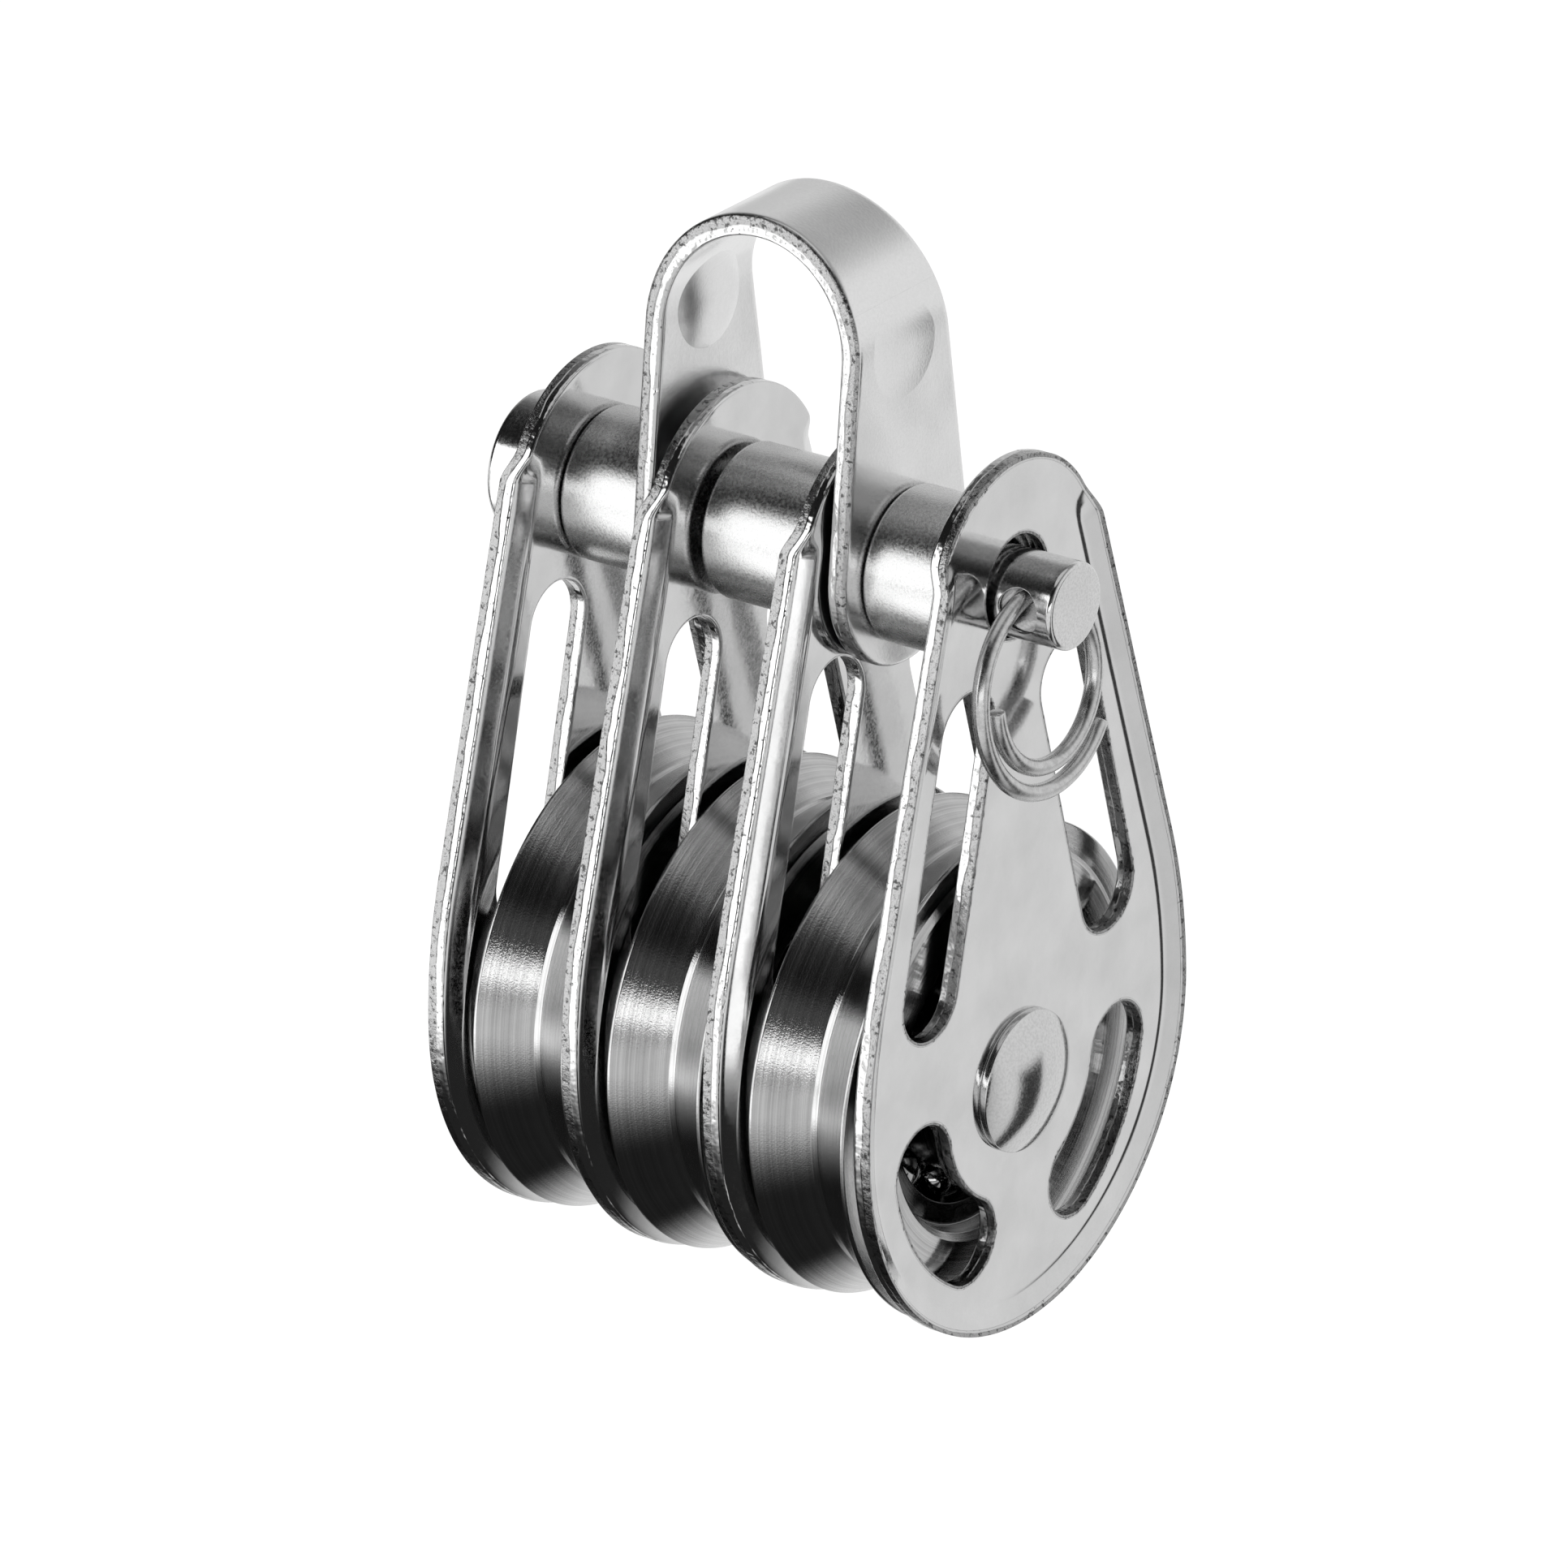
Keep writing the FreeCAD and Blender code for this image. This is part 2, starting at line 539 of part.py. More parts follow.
def bow():
    """A strip bent to a hoop over the two inner cheeks, wide at its eyes and narrow at the crown."""
    body = newBody("bow", bowMiddle, pinHeight)
    archRise = f"(Sizes.bow_height-{bowInnerHalf})"
    foot = "(-Sizes.bow_end_radius)"
    hoop = newSketch(body, "Hoop", "XZ_Plane")
    addProfile(hoop, [
        (f"-{bowOuterHalf}", foot),
        (f"-{bowInnerHalf}", foot),
        (f"-{bowInnerHalf}", archRise, ("0", archRise), -1),
        (bowInnerHalf, archRise),
        (bowInnerHalf, foot),
        (bowOuterHalf, foot),
        (bowOuterHalf, archRise, ("0", archRise), 1),
        (f"-{bowOuterHalf}", archRise),
    ])
    strip = body.newObject("PartDesign::Pad", "BentStrip")
    strip.Profile = hoop
    strip.SideType = "Symmetric"
    strip.setExpression("Length", "2*(Sizes.bow_end_radius+Sizes.bow_thickness)")

    # sides that leave the round eyes at a tangent and close in to the crown
    crown = "(Sizes.bow_height+Sizes.bow_thickness)"
    crownReach = f"sqrt(Sizes.bow_crown_half^2+{crown}^2)"
    tilt = f"(atan({crown}/Sizes.bow_crown_half)-acos(Sizes.bow_end_radius/{crownReach}))"
    besideEye = f"Sizes.bow_end_radius*cos({tilt})"
    aboveEye = f"Sizes.bow_end_radius*sin({tilt})"
    above = f"({crown}+Sizes.bow_thickness)"
    beside = "(Sizes.bow_end_radius+2*Sizes.bow_thickness)"
    trim = newSketch(body, "SideOutline", "YZ_Plane")
    addProfile(trim, [
        (f"-{besideEye}", aboveEye, ("0", "0"), 1),
        (besideEye, aboveEye),
        ("Sizes.bow_crown_half", crown),
        ("Sizes.bow_crown_half", above),
        ("-Sizes.bow_crown_half", above),
        ("-Sizes.bow_crown_half", crown),
    ])
    addProfile(trim, [
        (f"-{beside}", f"-{beside}"),
        (beside, f"-{beside}"),
        (beside, f"{above}+Sizes.bow_thickness"),
        (f"-{beside}", f"{above}+Sizes.bow_thickness"),
    ])
    pocketThrough(body, trim, "TaperedSides")

    eyes = newSketch(body, "PinEyes", "YZ_Plane")
    addCircle(eyes, "0", "0", "Sizes.pin_radius+Sizes.bow_pin_fit")
    pocketThrough(body, eyes, "PinEye")

    # a shallow round dimple pressed into the outside of each arm
    curve = "((Sizes.dimple_radius^2+Sizes.dimple_depth^2)/(2*Sizes.dimple_depth))"
    dimples = newSketch(body, "DimpleProfiles", "XZ_Plane", "0", "Sizes.dimple_rise")
    for side, turn in (("", 1), ("-", -1)):
        floor = f"({bowOuterHalf}-Sizes.dimple_depth)"
        outside = f"({bowOuterHalf}+Sizes.bow_thickness)"
        addProfile(dimples, [
            (f"{side}{floor}", "0"),
            (f"{side}{outside}", "0"),
            (f"{side}{outside}", "Sizes.dimple_radius"),
            (f"{side}{bowOuterHalf}", "Sizes.dimple_radius", (f"{side}({floor}+{curve})", "0"), turn),
        ])
    before = body.Shape.Volume
    pressed = body.newObject("PartDesign::Groove", "Dimples")
    pressed.Profile = dimples
    pressed.ReferenceAxis = (dimples, ["H_Axis"])
    pressed.Angle = 360
    document.recompute()
    if not pressed.Shape.Volume < before:
        raise ValueError("bow: the dimples cut nothing")


bow()


# Split ring

def splitRing():
    """A round wire wound flat in half turns, each wider than the last, through the cross hole."""
    # how far the wire's middle reaches from the winding's own centre after each half turn
    reaches = [f"(Sizes.ring_start_radius+{half}/2*Sizes.ring_growth)" for half in range(4)]
    topRadius = f"(({reaches[1]}+{reaches[2]})/2)"
    up = f"(Sizes.ring_lift-{topRadius})"
    lean = "Sizes.ring_tilt*1 deg"
    across = f"{outerFace}+Sizes.cross_hole_reach-{up}*sin({lean})"
    body = newBody("split_ring", across, f"{pinHeight}+{up}*cos({lean})")
    body.setExpression("Placement.Base.y", "-Sizes.ring_shift")
    # the ring leans out from the cheek, swung about the middle of the cross hole
    body.Placement.Rotation = Rotation(Vector(0, 1, 0), -value("Sizes.ring_tilt"))

    section = newSketch(body, "WireSection", "XY_Plane")
    addCircle(section, "0", f"-{reaches[0]}", "Sizes.wire_radius")

    path = newSketch(body, "WirePath", "YZ_Plane")
    lastTurn = 2 * math.pi * (value("Sizes.ring_turns") - 1)
    arcs = []
    for index, (side, turn) in enumerate(((-1, math.pi), (1, math.pi), (-1, lastTurn))):
        start, end = (value(reach) for reach in reaches[index:index + 2])
        centre = Vector(side * (start - end) / 2, 0, 0)
        heading = 0 if side > 0 else math.pi
        arc = addArc(path, centre, (start + end) / 2, heading, heading + turn)
        fixPoint(path, arc, 3, f"{side}*({reaches[index]}-{reaches[index + 1]})/2", "0")
        if arcs:
            path.addConstraint(Sketcher.Constraint("Coincident", arcs[-1], 2, arc, 1))
        arcs.append(arc)
    bind(path, "Radius", arcs[0], formula=f"({reaches[0]}+{reaches[1]})/2")
    for arc in arcs:
        path.addConstraint(Sketcher.Constraint("PointOnObject", arc, 1, -1))
    drop = f"-({reaches[2]}+{reaches[3]})/2*sin((Sizes.ring_turns-1)*360*1 deg)"
    bind(path, "DistanceY", -1, 1, arcs[2], 2, formula=drop)

    wire = body.newObject("PartDesign::AdditivePipe", "Wire")
    wire.Profile = section
    wire.Spine = (path, ["Edge1", "Edge2", "Edge3"])


splitRing()

# Check and write
document.recompute()
for item in document.Objects:
    if "Invalid" in item.State or "Error" in item.State:
        raise ValueError(f"{item.Name} failed: {item.State}")
os.makedirs("parts", exist_ok=True)
for node in nodes:
    shape = node.Shape
    if shape.isNull() or not shape.isValid():
        raise ValueError(f"{node.Label} has no sound shape")
    print(node.Label, len(shape.Solids), "solids", round(shape.Volume, 1), "mm3")
for node in nodes:
    node.Shape.exportStep(f"parts/{node.Label}.step")
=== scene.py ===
import math

import bmesh
import bpy
import numpy as np
from mathutils import Matrix, Vector


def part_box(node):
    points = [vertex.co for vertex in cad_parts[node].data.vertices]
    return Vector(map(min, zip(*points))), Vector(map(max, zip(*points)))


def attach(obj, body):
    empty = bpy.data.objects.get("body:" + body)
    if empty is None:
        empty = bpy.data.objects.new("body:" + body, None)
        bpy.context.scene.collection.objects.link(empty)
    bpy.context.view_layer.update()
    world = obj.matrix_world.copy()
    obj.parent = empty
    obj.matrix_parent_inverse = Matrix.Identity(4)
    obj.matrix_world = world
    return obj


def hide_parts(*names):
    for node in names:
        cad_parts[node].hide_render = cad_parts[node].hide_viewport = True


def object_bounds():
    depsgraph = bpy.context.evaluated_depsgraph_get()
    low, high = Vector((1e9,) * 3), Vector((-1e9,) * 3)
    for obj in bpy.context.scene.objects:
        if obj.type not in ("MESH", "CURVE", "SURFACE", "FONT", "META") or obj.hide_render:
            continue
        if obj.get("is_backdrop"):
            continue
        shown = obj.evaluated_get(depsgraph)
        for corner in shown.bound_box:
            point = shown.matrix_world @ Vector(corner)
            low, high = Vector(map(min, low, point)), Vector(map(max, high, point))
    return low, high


# Triple pulley block: polished steel cheeks, turned sheaves, a bent bow, a clevis pin and its split ring.
# Metres, +Z up, X along the axle, in the same frame as the CAD.

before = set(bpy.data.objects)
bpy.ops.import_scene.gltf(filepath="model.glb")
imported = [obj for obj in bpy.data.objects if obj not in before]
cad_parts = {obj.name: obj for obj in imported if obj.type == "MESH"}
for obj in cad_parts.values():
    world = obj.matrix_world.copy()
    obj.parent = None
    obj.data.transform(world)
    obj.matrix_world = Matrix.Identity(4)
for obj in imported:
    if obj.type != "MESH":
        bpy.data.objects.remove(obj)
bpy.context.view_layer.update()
mm = 0.001
scene = bpy.context.scene
print("frame loaded:", len(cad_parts), "nodes")


def span(node):
    low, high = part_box(node)
    return np.array(low), np.array(high)


def linkPiece(name, mesh, body, node, material):
    piece = bpy.data.objects.new(name, mesh)
    scene.collection.objects.link(piece)
    mesh.materials.append(material)
    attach(piece, body)
    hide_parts(node)


# Mesh helpers. A surface is a grid of points, rows by columns; sheets of one piece are joined
# where their edge points fall together.

def gridFaces(rows, columns, closeRows, closeColumns):
    # each face joins point (i, j) to its next row and next column, wrapping round where closed
    i, j = np.meshgrid(np.arange(rows if closeRows else rows - 1),
                       np.arange(columns if closeColumns else columns - 1), indexing="ij")
    nextRow = (i + 1) % rows
    nextColumn = (j + 1) % columns
    return np.stack([i * columns + j, nextRow * columns + j,
                     nextRow * columns + nextColumn, i * columns + nextColumn], -1).reshape(-1, 4)


class Sheets:
    # gathers grids and flat fills of one piece, with a number for each point that the finish reads
    def __init__(self):
        self.points, self.faces, self.marks, self.count = [], [], [], 0

    def add(self, points, faces, marks):
        points = np.asarray(points, float).reshape(-1, 3)
        self.faces += (np.asarray(faces) + self.count).tolist()
        self.points.append(points)
        self.marks.append(marks)
        self.count += len(points)

    def addGrid(self, grid, closeRows=False, closeColumns=False, mark=0.0):
        rows, columns = grid.shape[:2]
        self.add(grid, gridFaces(rows, columns, closeRows, closeColumns),
                 np.broadcast_to(mark, (rows, columns)).ravel())

    def addFill(self, loops, place):
        # a flat sheet between closed loops of 2D points; place puts the 2D points in space
        work = bmesh.new()
        for loop in loops:
            corners = [work.verts.new((a, b, 0)) for a, b in loop]
            for first, second in zip(corners, corners[1:] + corners[:1]):
                work.edges.new((first, second))
        bmesh.ops.triangle_fill(work, use_beauty=True, edges=work.edges[:])
        work.verts.index_update()
        flat = np.array([vert.co[:2] for vert in work.verts])
        faces = [[vert.index for vert in face.verts] for face in work.faces]
        work.free()
        self.add(place(flat), faces, np.zeros(len(flat)))

    def mesh(self, name, join=1e-7):
        mesh = bpy.data.meshes.new(name)
        mesh.from_pydata(np.concatenate(self.points).tolist(), [], self.faces)
        mark = mesh.attributes.new("cut", "FLOAT", "POINT")
        mark.data.foreach_set("value", np.concatenate(self.marks).astype(np.float32))
        work = bmesh.new()
        work.from_mesh(mesh)
        bmesh.ops.remove_doubles(work, verts=work.verts[:], dist=join)
        bmesh.ops.dissolve_degenerate(work, edges=work.edges[:], dist=join)
        bmesh.ops.recalc_face_normals(work, faces=work.faces[:])
        openEdges = sum(edge.is_boundary for edge in work.edges)
        work.to_mesh(mesh)
        work.free()
        mesh.polygons.foreach_set("use_smooth", np.ones(len(mesh.polygons), bool))
        print(f"{name}: {len(mesh.polygons)} faces, {openEdges} open edges")
        return mesh


def roundedOutline(corners, steps=4, support=0.06):
    # corners (a, b, radius) of a closed outline: each becomes an arc tangent to both its sides,
    # with one more point a little way along each side so that flats stay flat in the shading
    corners = np.array(corners, float)
    places, radii = corners[:, :2], corners[:, 2]
    back = np.roll(places, 1, 0) - places
    ahead = np.roll(places, -1, 0) - places
    back /= np.linalg.norm(back, axis=1)[:, None]
    ahead /= np.linalg.norm(ahead, axis=1)[:, None]
    half = np.arccos(np.clip((back * ahead).sum(1), -1, 1)) / 2
    reach = radii / np.tan(half)
    bisector = back + ahead
    bisector /= np.maximum(np.linalg.norm(bisector, axis=1), 1e-12)[:, None]
    centre = places + bisector * (radii / np.sin(half))[:, None]
    outline = []
    for k in range(len(corners)):
        if radii[k] == 0:
            outline.append(places[k][None])
            continue
        start = places[k] + back[k] * reach[k] - centre[k]
        end = places[k] + ahead[k] * reach[k] - centre[k]
        turn = math.atan2(start[0] * end[1] - start[1] * end[0], start @ end)
        angle = np.linspace(0, turn, steps + 1)
        arc = centre[k] + np.stack([start[0] * np.cos(angle) - start[1] * np.sin(angle),
                                    start[0] * np.sin(angle) + start[1] * np.cos(angle)], 1)
        outline.append(np.concatenate([(arc[0] + back[k] * support)[None], arc,
                                       (arc[-1] + ahead[k] * support)[None]]))
    return np.concatenate(outline)


def turnedGrid(profile, axis, steps):
    # a profile of (x, radius) in millimetres turned about the line y = axis[1], z = axis[2]
    angle = np.linspace(0, 2 * np.pi, steps, endpoint=False)
    x = np.broadcast_to(profile[:, 0:1], (len(profile), steps))
    y = profile[:, 1:2] * np.cos(angle)
    z = profile[:, 1:2] * np.sin(angle)
    return np.stack([x, y, z], -1) * mm + np.array(axis)


def turnedPiece(name, profile, axis, body, node, material, steps=192):
    sheets = Sheets()
    sheets.addGrid(turnedGrid(profile, axis, steps), closeRows=True, closeColumns=True)
    linkPiece(name, sheets.mesh(name), body, node, material)


# Node helpers for the finishes

def newMaterial(name):
    material = bpy.data.materials.new(name)
    material.use_nodes = True
    tree = material.node_tree
    return material, tree, tree.nodes["Principled BSDF"]


def add(tree, kind, inputs=None, **settings):
    node = tree.nodes.new(kind)
    for key, setting in settings.items():
        setattr(node, key, setting)
    for key, source in (inputs or {}).items():
        if isinstance(source, bpy.types.NodeSocket):
            tree.links.new(source, node.inputs[key])
        else:
            node.inputs[key].default_value = source
    return node


def objectPlace(tree, centre=(0, 0, 0)):
    coordinates = add(tree, "ShaderNodeTexCoord")
    return add(tree, "ShaderNodeVectorMath", {0: coordinates.outputs["Object"], 1: tuple(centre)},
               operation="SUBTRACT").outputs[0]


def noise(tree, vector, scale, detail, roughness=0.5):
    return add(tree, "ShaderNodeTexNoise", {
        "Vector": vector, "Scale": scale, "Detail": detail, "Roughness": roughness}).outputs["Fac"]


def remap(tree, source, low, high, toLow, toHigh):
    return add(tree, "ShaderNodeMapRange", {0: source, 1: low, 2: high, 3: toLow, 4: toHigh}).outputs[0]


def mixColour(tree, factor, first, second):
    return add(tree, "ShaderNodeMix", {"Factor": factor, 6: first, 7: second}, data_type="RGBA").outputs[2]


def grey(tree, source, dark, light):
    return mixColour(tree, source, (dark, dark, dark, 1), (light, light, light, 1))


def math2(tree, operation, first, second):
    return add(tree, "ShaderNodeMath", {0: first, 1: second}, operation=operation).outputs[0]


def bump(tree, height, strength, distance, normal=None):
    inputs = {"Height": height, "Strength": strength, "Distance": distance}
    if normal is not None:
        inputs["Normal"] = normal
    return add(tree, "ShaderNodeBump", inputs).outputs[0]


# Finishes

plateLook = {
    "light": 0.8, "dark": 0.7, "roughness": (0.06, 0.14), "waveSize": 240, "grainSize": 5200,
    "waveHeight": 0.00002,
}
edgeLook = {
    "burnished": 0.7, "smeared": 0.2, "chip": 0.08, "torn": 0.42, "tornFrom": 0.46, "tornOver": 0.08,
    "ragged": 0.6, "roughness": (0.12, 0.26), "chipSize": 2600, "chipHeight": 0.00006,
    "unevenSize": 900, "unevenHeight": 0.0001,
}


def cutEdge(tree, place, wave):
    # the sheared edge of a sheet, from how far across it a point lies: a burnished band, then
    # torn grain with dark chips towards the side where the punch left
    look = edgeLook
    cut = add(tree, "ShaderNodeAttribute", attribute_name="cut").outputs["Fac"]
    onEdge = remap(tree, cut, 0.02, 0.06, 0, 1)
    ragged = math2(tree, "MULTIPLY", math2(tree, "SUBTRACT", wave, 0.5), look["ragged"])
    border = math2(tree, "ADD", cut, ragged)
    torn = remap(tree, border, look["tornFrom"], look["tornFrom"] + look["tornOver"], 0, 1)
    grains = noise(tree, place, look["chipSize"], 3, 0.7)
    tornColour = grey(tree, remap(tree, grains, 0.36, 0.46, 0, 1), look["chip"], look["torn"])
    burnished = grey(tree, remap(tree, grains, 0.32, 0.38, 0, 1), look["smeared"], look["burnished"])
    colour = mixColour(tree, torn, burnished, tornColour)
    rough = remap(tree, torn, 0, 1, *look["roughness"])
    chips = math2(tree, "MULTIPLY", math2(tree, "MULTIPLY", grains, torn), look["chipHeight"])
    uneven = math2(tree, "MULTIPLY", noise(tree, place, look["unevenSize"], 2), look["unevenHeight"])
    height = math2(tree, "ADD", chips, uneven)
    return onEdge, colour, rough, math2(tree, "MULTIPLY", height, onEdge)


def blendEdge(tree, shader, edge, faceColour, faceRough, faceNormal):
    # the face's finish, and over it the edge's where the sheet is cut
    onEdge, colour, rough, height = edge
    tree.links.new(mixColour(tree, onEdge, faceColour, colour), shader.inputs["Base Color"])
    tree.links.new(add(tree, "ShaderNodeMix", {"Factor": onEdge, 2: faceRough, 3: rough},
                       data_type="FLOAT").outputs[0], shader.inputs["Roughness"])
    tree.links.new(bump(tree, height, 1.0, 1.0, faceNormal), shader.inputs["Normal"])
    shader.inputs["Metallic"].default_value = 1.0


def plateSteel():
    # rolled and polished sheet, faintly wavy and clouded
    look = plateLook
    material, tree, shader = newMaterial("plateSteel")
    place = objectPlace(tree)
    wave = noise(tree, place, look["waveSize"], 3)
    fine = noise(tree, place, look["grainSize"], 2)
    clouded = math2(tree, "ADD", wave, math2(tree, "MULTIPLY", fine, 0.3))
    face = grey(tree, remap(tree, clouded, 0.4, 0.85, 0, 1), look["dark"], look["light"])
    rough = remap(tree, fine, 0.3, 0.7, *look["roughness"])
    waves = bump(tree, wave, 1.0, look["waveHeight"])
    blendEdge(tree, shader, cutEdge(tree, place, wave), face, rough, waves)
    return material


def turnedSteel(name, centre, look):
    # turned metal: fine rings about the X axis through the centre, read from x and radius; where
    # the look has "along", the rings spread a reflection across themselves
    material, tree, shader = newMaterial(name)
    place = objectPlace(tree, centre)
    split = add(tree, "ShaderNodeSeparateXYZ", {0: place})
    radius = math2(tree, "SQRT", math2(tree, "ADD", math2(tree, "POWER", split.outputs[1], 2),
                                       math2(tree, "POWER", split.outputs[2], 2)), 0)
    ringPlace = add(tree, "ShaderNodeCombineXYZ", {0: split.outputs[0], 1: radius}).outputs[0]
    lines = noise(tree, ringPlace, look["lineSize"], 4, 0.7)
    patches = noise(tree, place, 420, 3)
    shade = math2(tree, "ADD", lines, math2(tree, "MULTIPLY", patches, 0.25))
    colour = grey(tree, remap(tree, shade, 0.4, 0.85, 0, 1), look["dark"], look["light"])
    if "paintedShadeTo" in look:  # painted shade: dark inside this radius, standing in for the shadow in the bore's mouth
        unshaded = remap(tree, radius, look["paintedShadeTo"] - 0.0004, look["paintedShadeTo"], 0.0, 1.0)
        colour = mixColour(tree, unshaded, (0.1, 0.1, 0.1, 1), colour)
    tree.links.new(colour, shader.inputs["Base Color"])
    tree.links.new(remap(tree, lines, 0.3, 0.7, *look["roughness"]), shader.inputs["Roughness"])
    grain = None
    if "sparkle" in look:  # strong outside this radius, where the rope runs, and faint on the sides
        worn = remap(tree, radius, look["sparkleFrom"], look["sparkleFrom"] + 0.0002, 0.1, 1.0)
        speckle = math2(tree, "MULTIPLY", noise(tree, place, look["grainSize"], 2, 0.6), worn)
        grain = bump(tree, speckle, 1.0, look["sparkle"])
    tree.links.new(bump(tree, lines, 1.0, look["lineHeight"], grain), shader.inputs["Normal"])
    shader.inputs["Metallic"].default_value = 1.0
    if "along" in look:
        outward = add(tree, "ShaderNodeVectorMath", {0: place, 1: (0, 1, 1)}, operation="MULTIPLY").outputs[0]
        outward = add(tree, "ShaderNodeVectorMath", {0: outward}, operation="NORMALIZE").outputs[0]
        outward = add(tree, "ShaderNodeVectorMath", {0: outward, 1: (0.3, 0.3, 0.3), 2: (1, 0, 0)},
                      operation="MULTIPLY_ADD").outputs[0]
        across = add(tree, "ShaderNodeVectorTransform", {0: outward}, vector_type="VECTOR",
                     convert_from="OBJECT", convert_to="WORLD").outputs[0]
        tree.links.new(across, shader.inputs["Tangent"])
        shader.inputs["Anisotropic"].default_value = look["along"]
    return material


def hammeredSteel(name, centre, look):
    # struck rivet heads: broad uneven facets under a fine peened grain
    material, tree, shader = newMaterial(name)
    place = objectPlace(tree, centre)
    facets = noise(tree, place, look["facetSize"], 0)
    grain = noise(tree, place, look["grainSize"], 3)
    colour = grey(tree, remap(tree, grain, 0.35, 0.6, 0, 1), look["dark"], look["light"])
    tree.links.new(colour, shader.inputs["Base Color"])
    tree.links.new(remap(tree, grain, 0.3, 0.7, *look["roughness"]), shader.inputs["Roughness"])
    broad = bump(tree, facets, 1.0, look["facetHeight"])
    tree.links.new(bump(tree, grain, 1.0, look["grainHeight"], broad), shader.inputs["Normal"])
    shader.inputs["Metallic"].default_value = 1.0
    return material


def grainySteel(name, look):
    # dull drawn or tumbled metal with a fine speckle
    material, tree, shader = newMaterial(name)
    place = objectPlace(tree)
    grains = noise(tree, place, look["grainSize"], 3, 0.65)
    clouds = noise(tree, place, 300, 3)
    shade = math2(tree, "MULTIPLY", remap(tree, grains, 0.35, 0.6, 0.4, 1),
                  remap(tree, clouds, 0.3, 0.7, 0.8, 1))
    tree.links.new(grey(tree, shade, look["dark"], look["light"]), shader.inputs["Base Color"])
    tree.links.new(remap(tree, grains, 0.3, 0.7, *look["roughness"]), shader.inputs["Roughness"])
    tree.links.new(bump(tree, grains, 1.0, look["grainHeight"]), shader.inputs["Normal"])
    shader.inputs["Metallic"].default_value = 1.0
    return material


plateFinish = plateSteel()
print("finishes made")


# Cheeks

cheekForm = {  # millimetres, about the axle: (across y, up z)
    "thickness": 1.3, "flareDepth": 0.85, "flareWidth": 1.7, "bend": 0.32,
    "headRadius": 9.3, "shoulderRise": 4.95, "shoulderRamp": 2.4, "flankRadius": 38.0,
    "bellyRadius": 18.6, "bellyRise": 1.0, "pinRise": 35.55,
    "slotRadius": 3.0, "slotLow": (10.3, 10.1), "slotHigh": (5.7, 27.2),
    "windowInner": 8.5, "windowOuter": 14.5, "windowHigh": 10.0, "windowLow": 57.0,
    "pinHoleRadius": 3.5, "pinHoleLift": 0.4, "axleHoleRadius": 3.04,
    "rollOver": 0.22, "burr": 0.07, "webInset": 2.6, "rimBorder": 0.45, "holeBorder": 0.3,
    "bendRows": (-0.4, -0.32, -0.22, -0.11, 0, 0.11, 0.22, 0.32, 0.4, 0.8),
}


def cheekOutline(inset):
    # belly arc, flank arc, straight flank and head arc up one side, then the same mirrored:
    # concentric arcs whose radii shrink by the inset
    form = cheekForm
    flankOffset = form["flankRadius"] - form["bellyRadius"]
    rise = form["pinRise"] - form["bellyRise"]
    tilt = math.atan2(rise, flankOffset) - math.acos(
        (form["flankRadius"] - form["headRadius"]) / math.hypot(rise, flankOffset))

    def arc(across, up, radius, start, end, count):
        angle = np.linspace(start, end, count, endpoint=False)
        return np.stack([across + (radius - inset) * np.cos(angle), up + (radius - inset) * np.sin(angle)], 1)

    belly = arc(0, form["bellyRise"], form["bellyRadius"], -np.pi / 2, 0, 64)
    flank = arc(-flankOffset, form["bellyRise"], form["flankRadius"], 0, tilt, 14)
    head = arc(0, form["pinRise"], form["headRadius"], tilt, np.pi / 2, 110)
    tangent = arc(-flankOffset, form["bellyRise"], form["flankRadius"], tilt, tilt + 1, 1)[0]
    line = tangent + (head[0] - tangent) * np.linspace(0, 1, 16, endpoint=False)[:, None]
    side = np.concatenate([belly, flank, line, head])
    top = arc(0, form["pinRise"], form["headRadius"], np.pi / 2, np.pi, 1)
    mirrored = side[:0:-1] * [-1, 1]
    return np.concatenate([side, top, mirrored])


def slotOutline(side, grow):
    # two end arcs of one radius, joined by straight sides
    form = cheekForm
    low = np.array(form["slotLow"]) * [side, 1]
    high = np.array(form["slotHigh"]) * [side, 1]
    heading = math.atan2(*(high - low)[::-1])
    ends = []
    for centre, turn in ((high, -np.pi / 2), (low, np.pi / 2)):
        angle = heading + turn + np.linspace(0, np.pi, 29)
        ends.append(centre + (form["slotRadius"] + grow) * np.stack([np.cos(angle), np.sin(angle)], 1))
    return np.concatenate(ends)


def windowOutline(side, grow):
    # outer arc, round end, inner arc, round end, about the axle
    form = cheekForm
    inner, outer = form["windowInner"], form["windowOuter"]
    low, high = -math.radians(form["windowLow"]), -math.radians(form["windowHigh"])
    middle, cap = (inner + outer) / 2, (outer - inner) / 2

    def arc(across, up, radius, start, end, count):
        angle = np.linspace(start, end, count, endpoint=False)
        return np.stack([across + radius * np.cos(angle), up + radius * np.sin(angle)], 1)

    outline = np.concatenate([
        arc(0, 0, outer + grow, low, high, 40),
        arc(middle * math.cos(high), middle * math.sin(high), cap + grow, high, high + np.pi, 28),
        arc(0, 0, inner - grow, high, low, 32),
        arc(middle * math.cos(low), middle * math.sin(low), cap + grow, low + np.pi, low + 2 * np.pi, 28)])
    return outline * [side, 1]


def roundOutline(up, radius, grow):
    angle = np.linspace(0, 2 * np.pi, 96, endpoint=False)
    return np.stack([(radius + grow) * np.cos(angle), up + (radius + grow) * np.sin(angle)], 1)


def flareHeight(inset):
    # zero on the web, a parabola over the bend, then a straight slope out to the rim
    form = cheekForm
    slope = form["flareDepth"] / form["flareWidth"]
    past = form["flareWidth"] - inset
    bend = form["bend"]
    bent = np.where(past < -bend, 0, slope * (past + bend) ** 2 / (4 * bend))
    return np.where(past > bend, slope * past, bent)


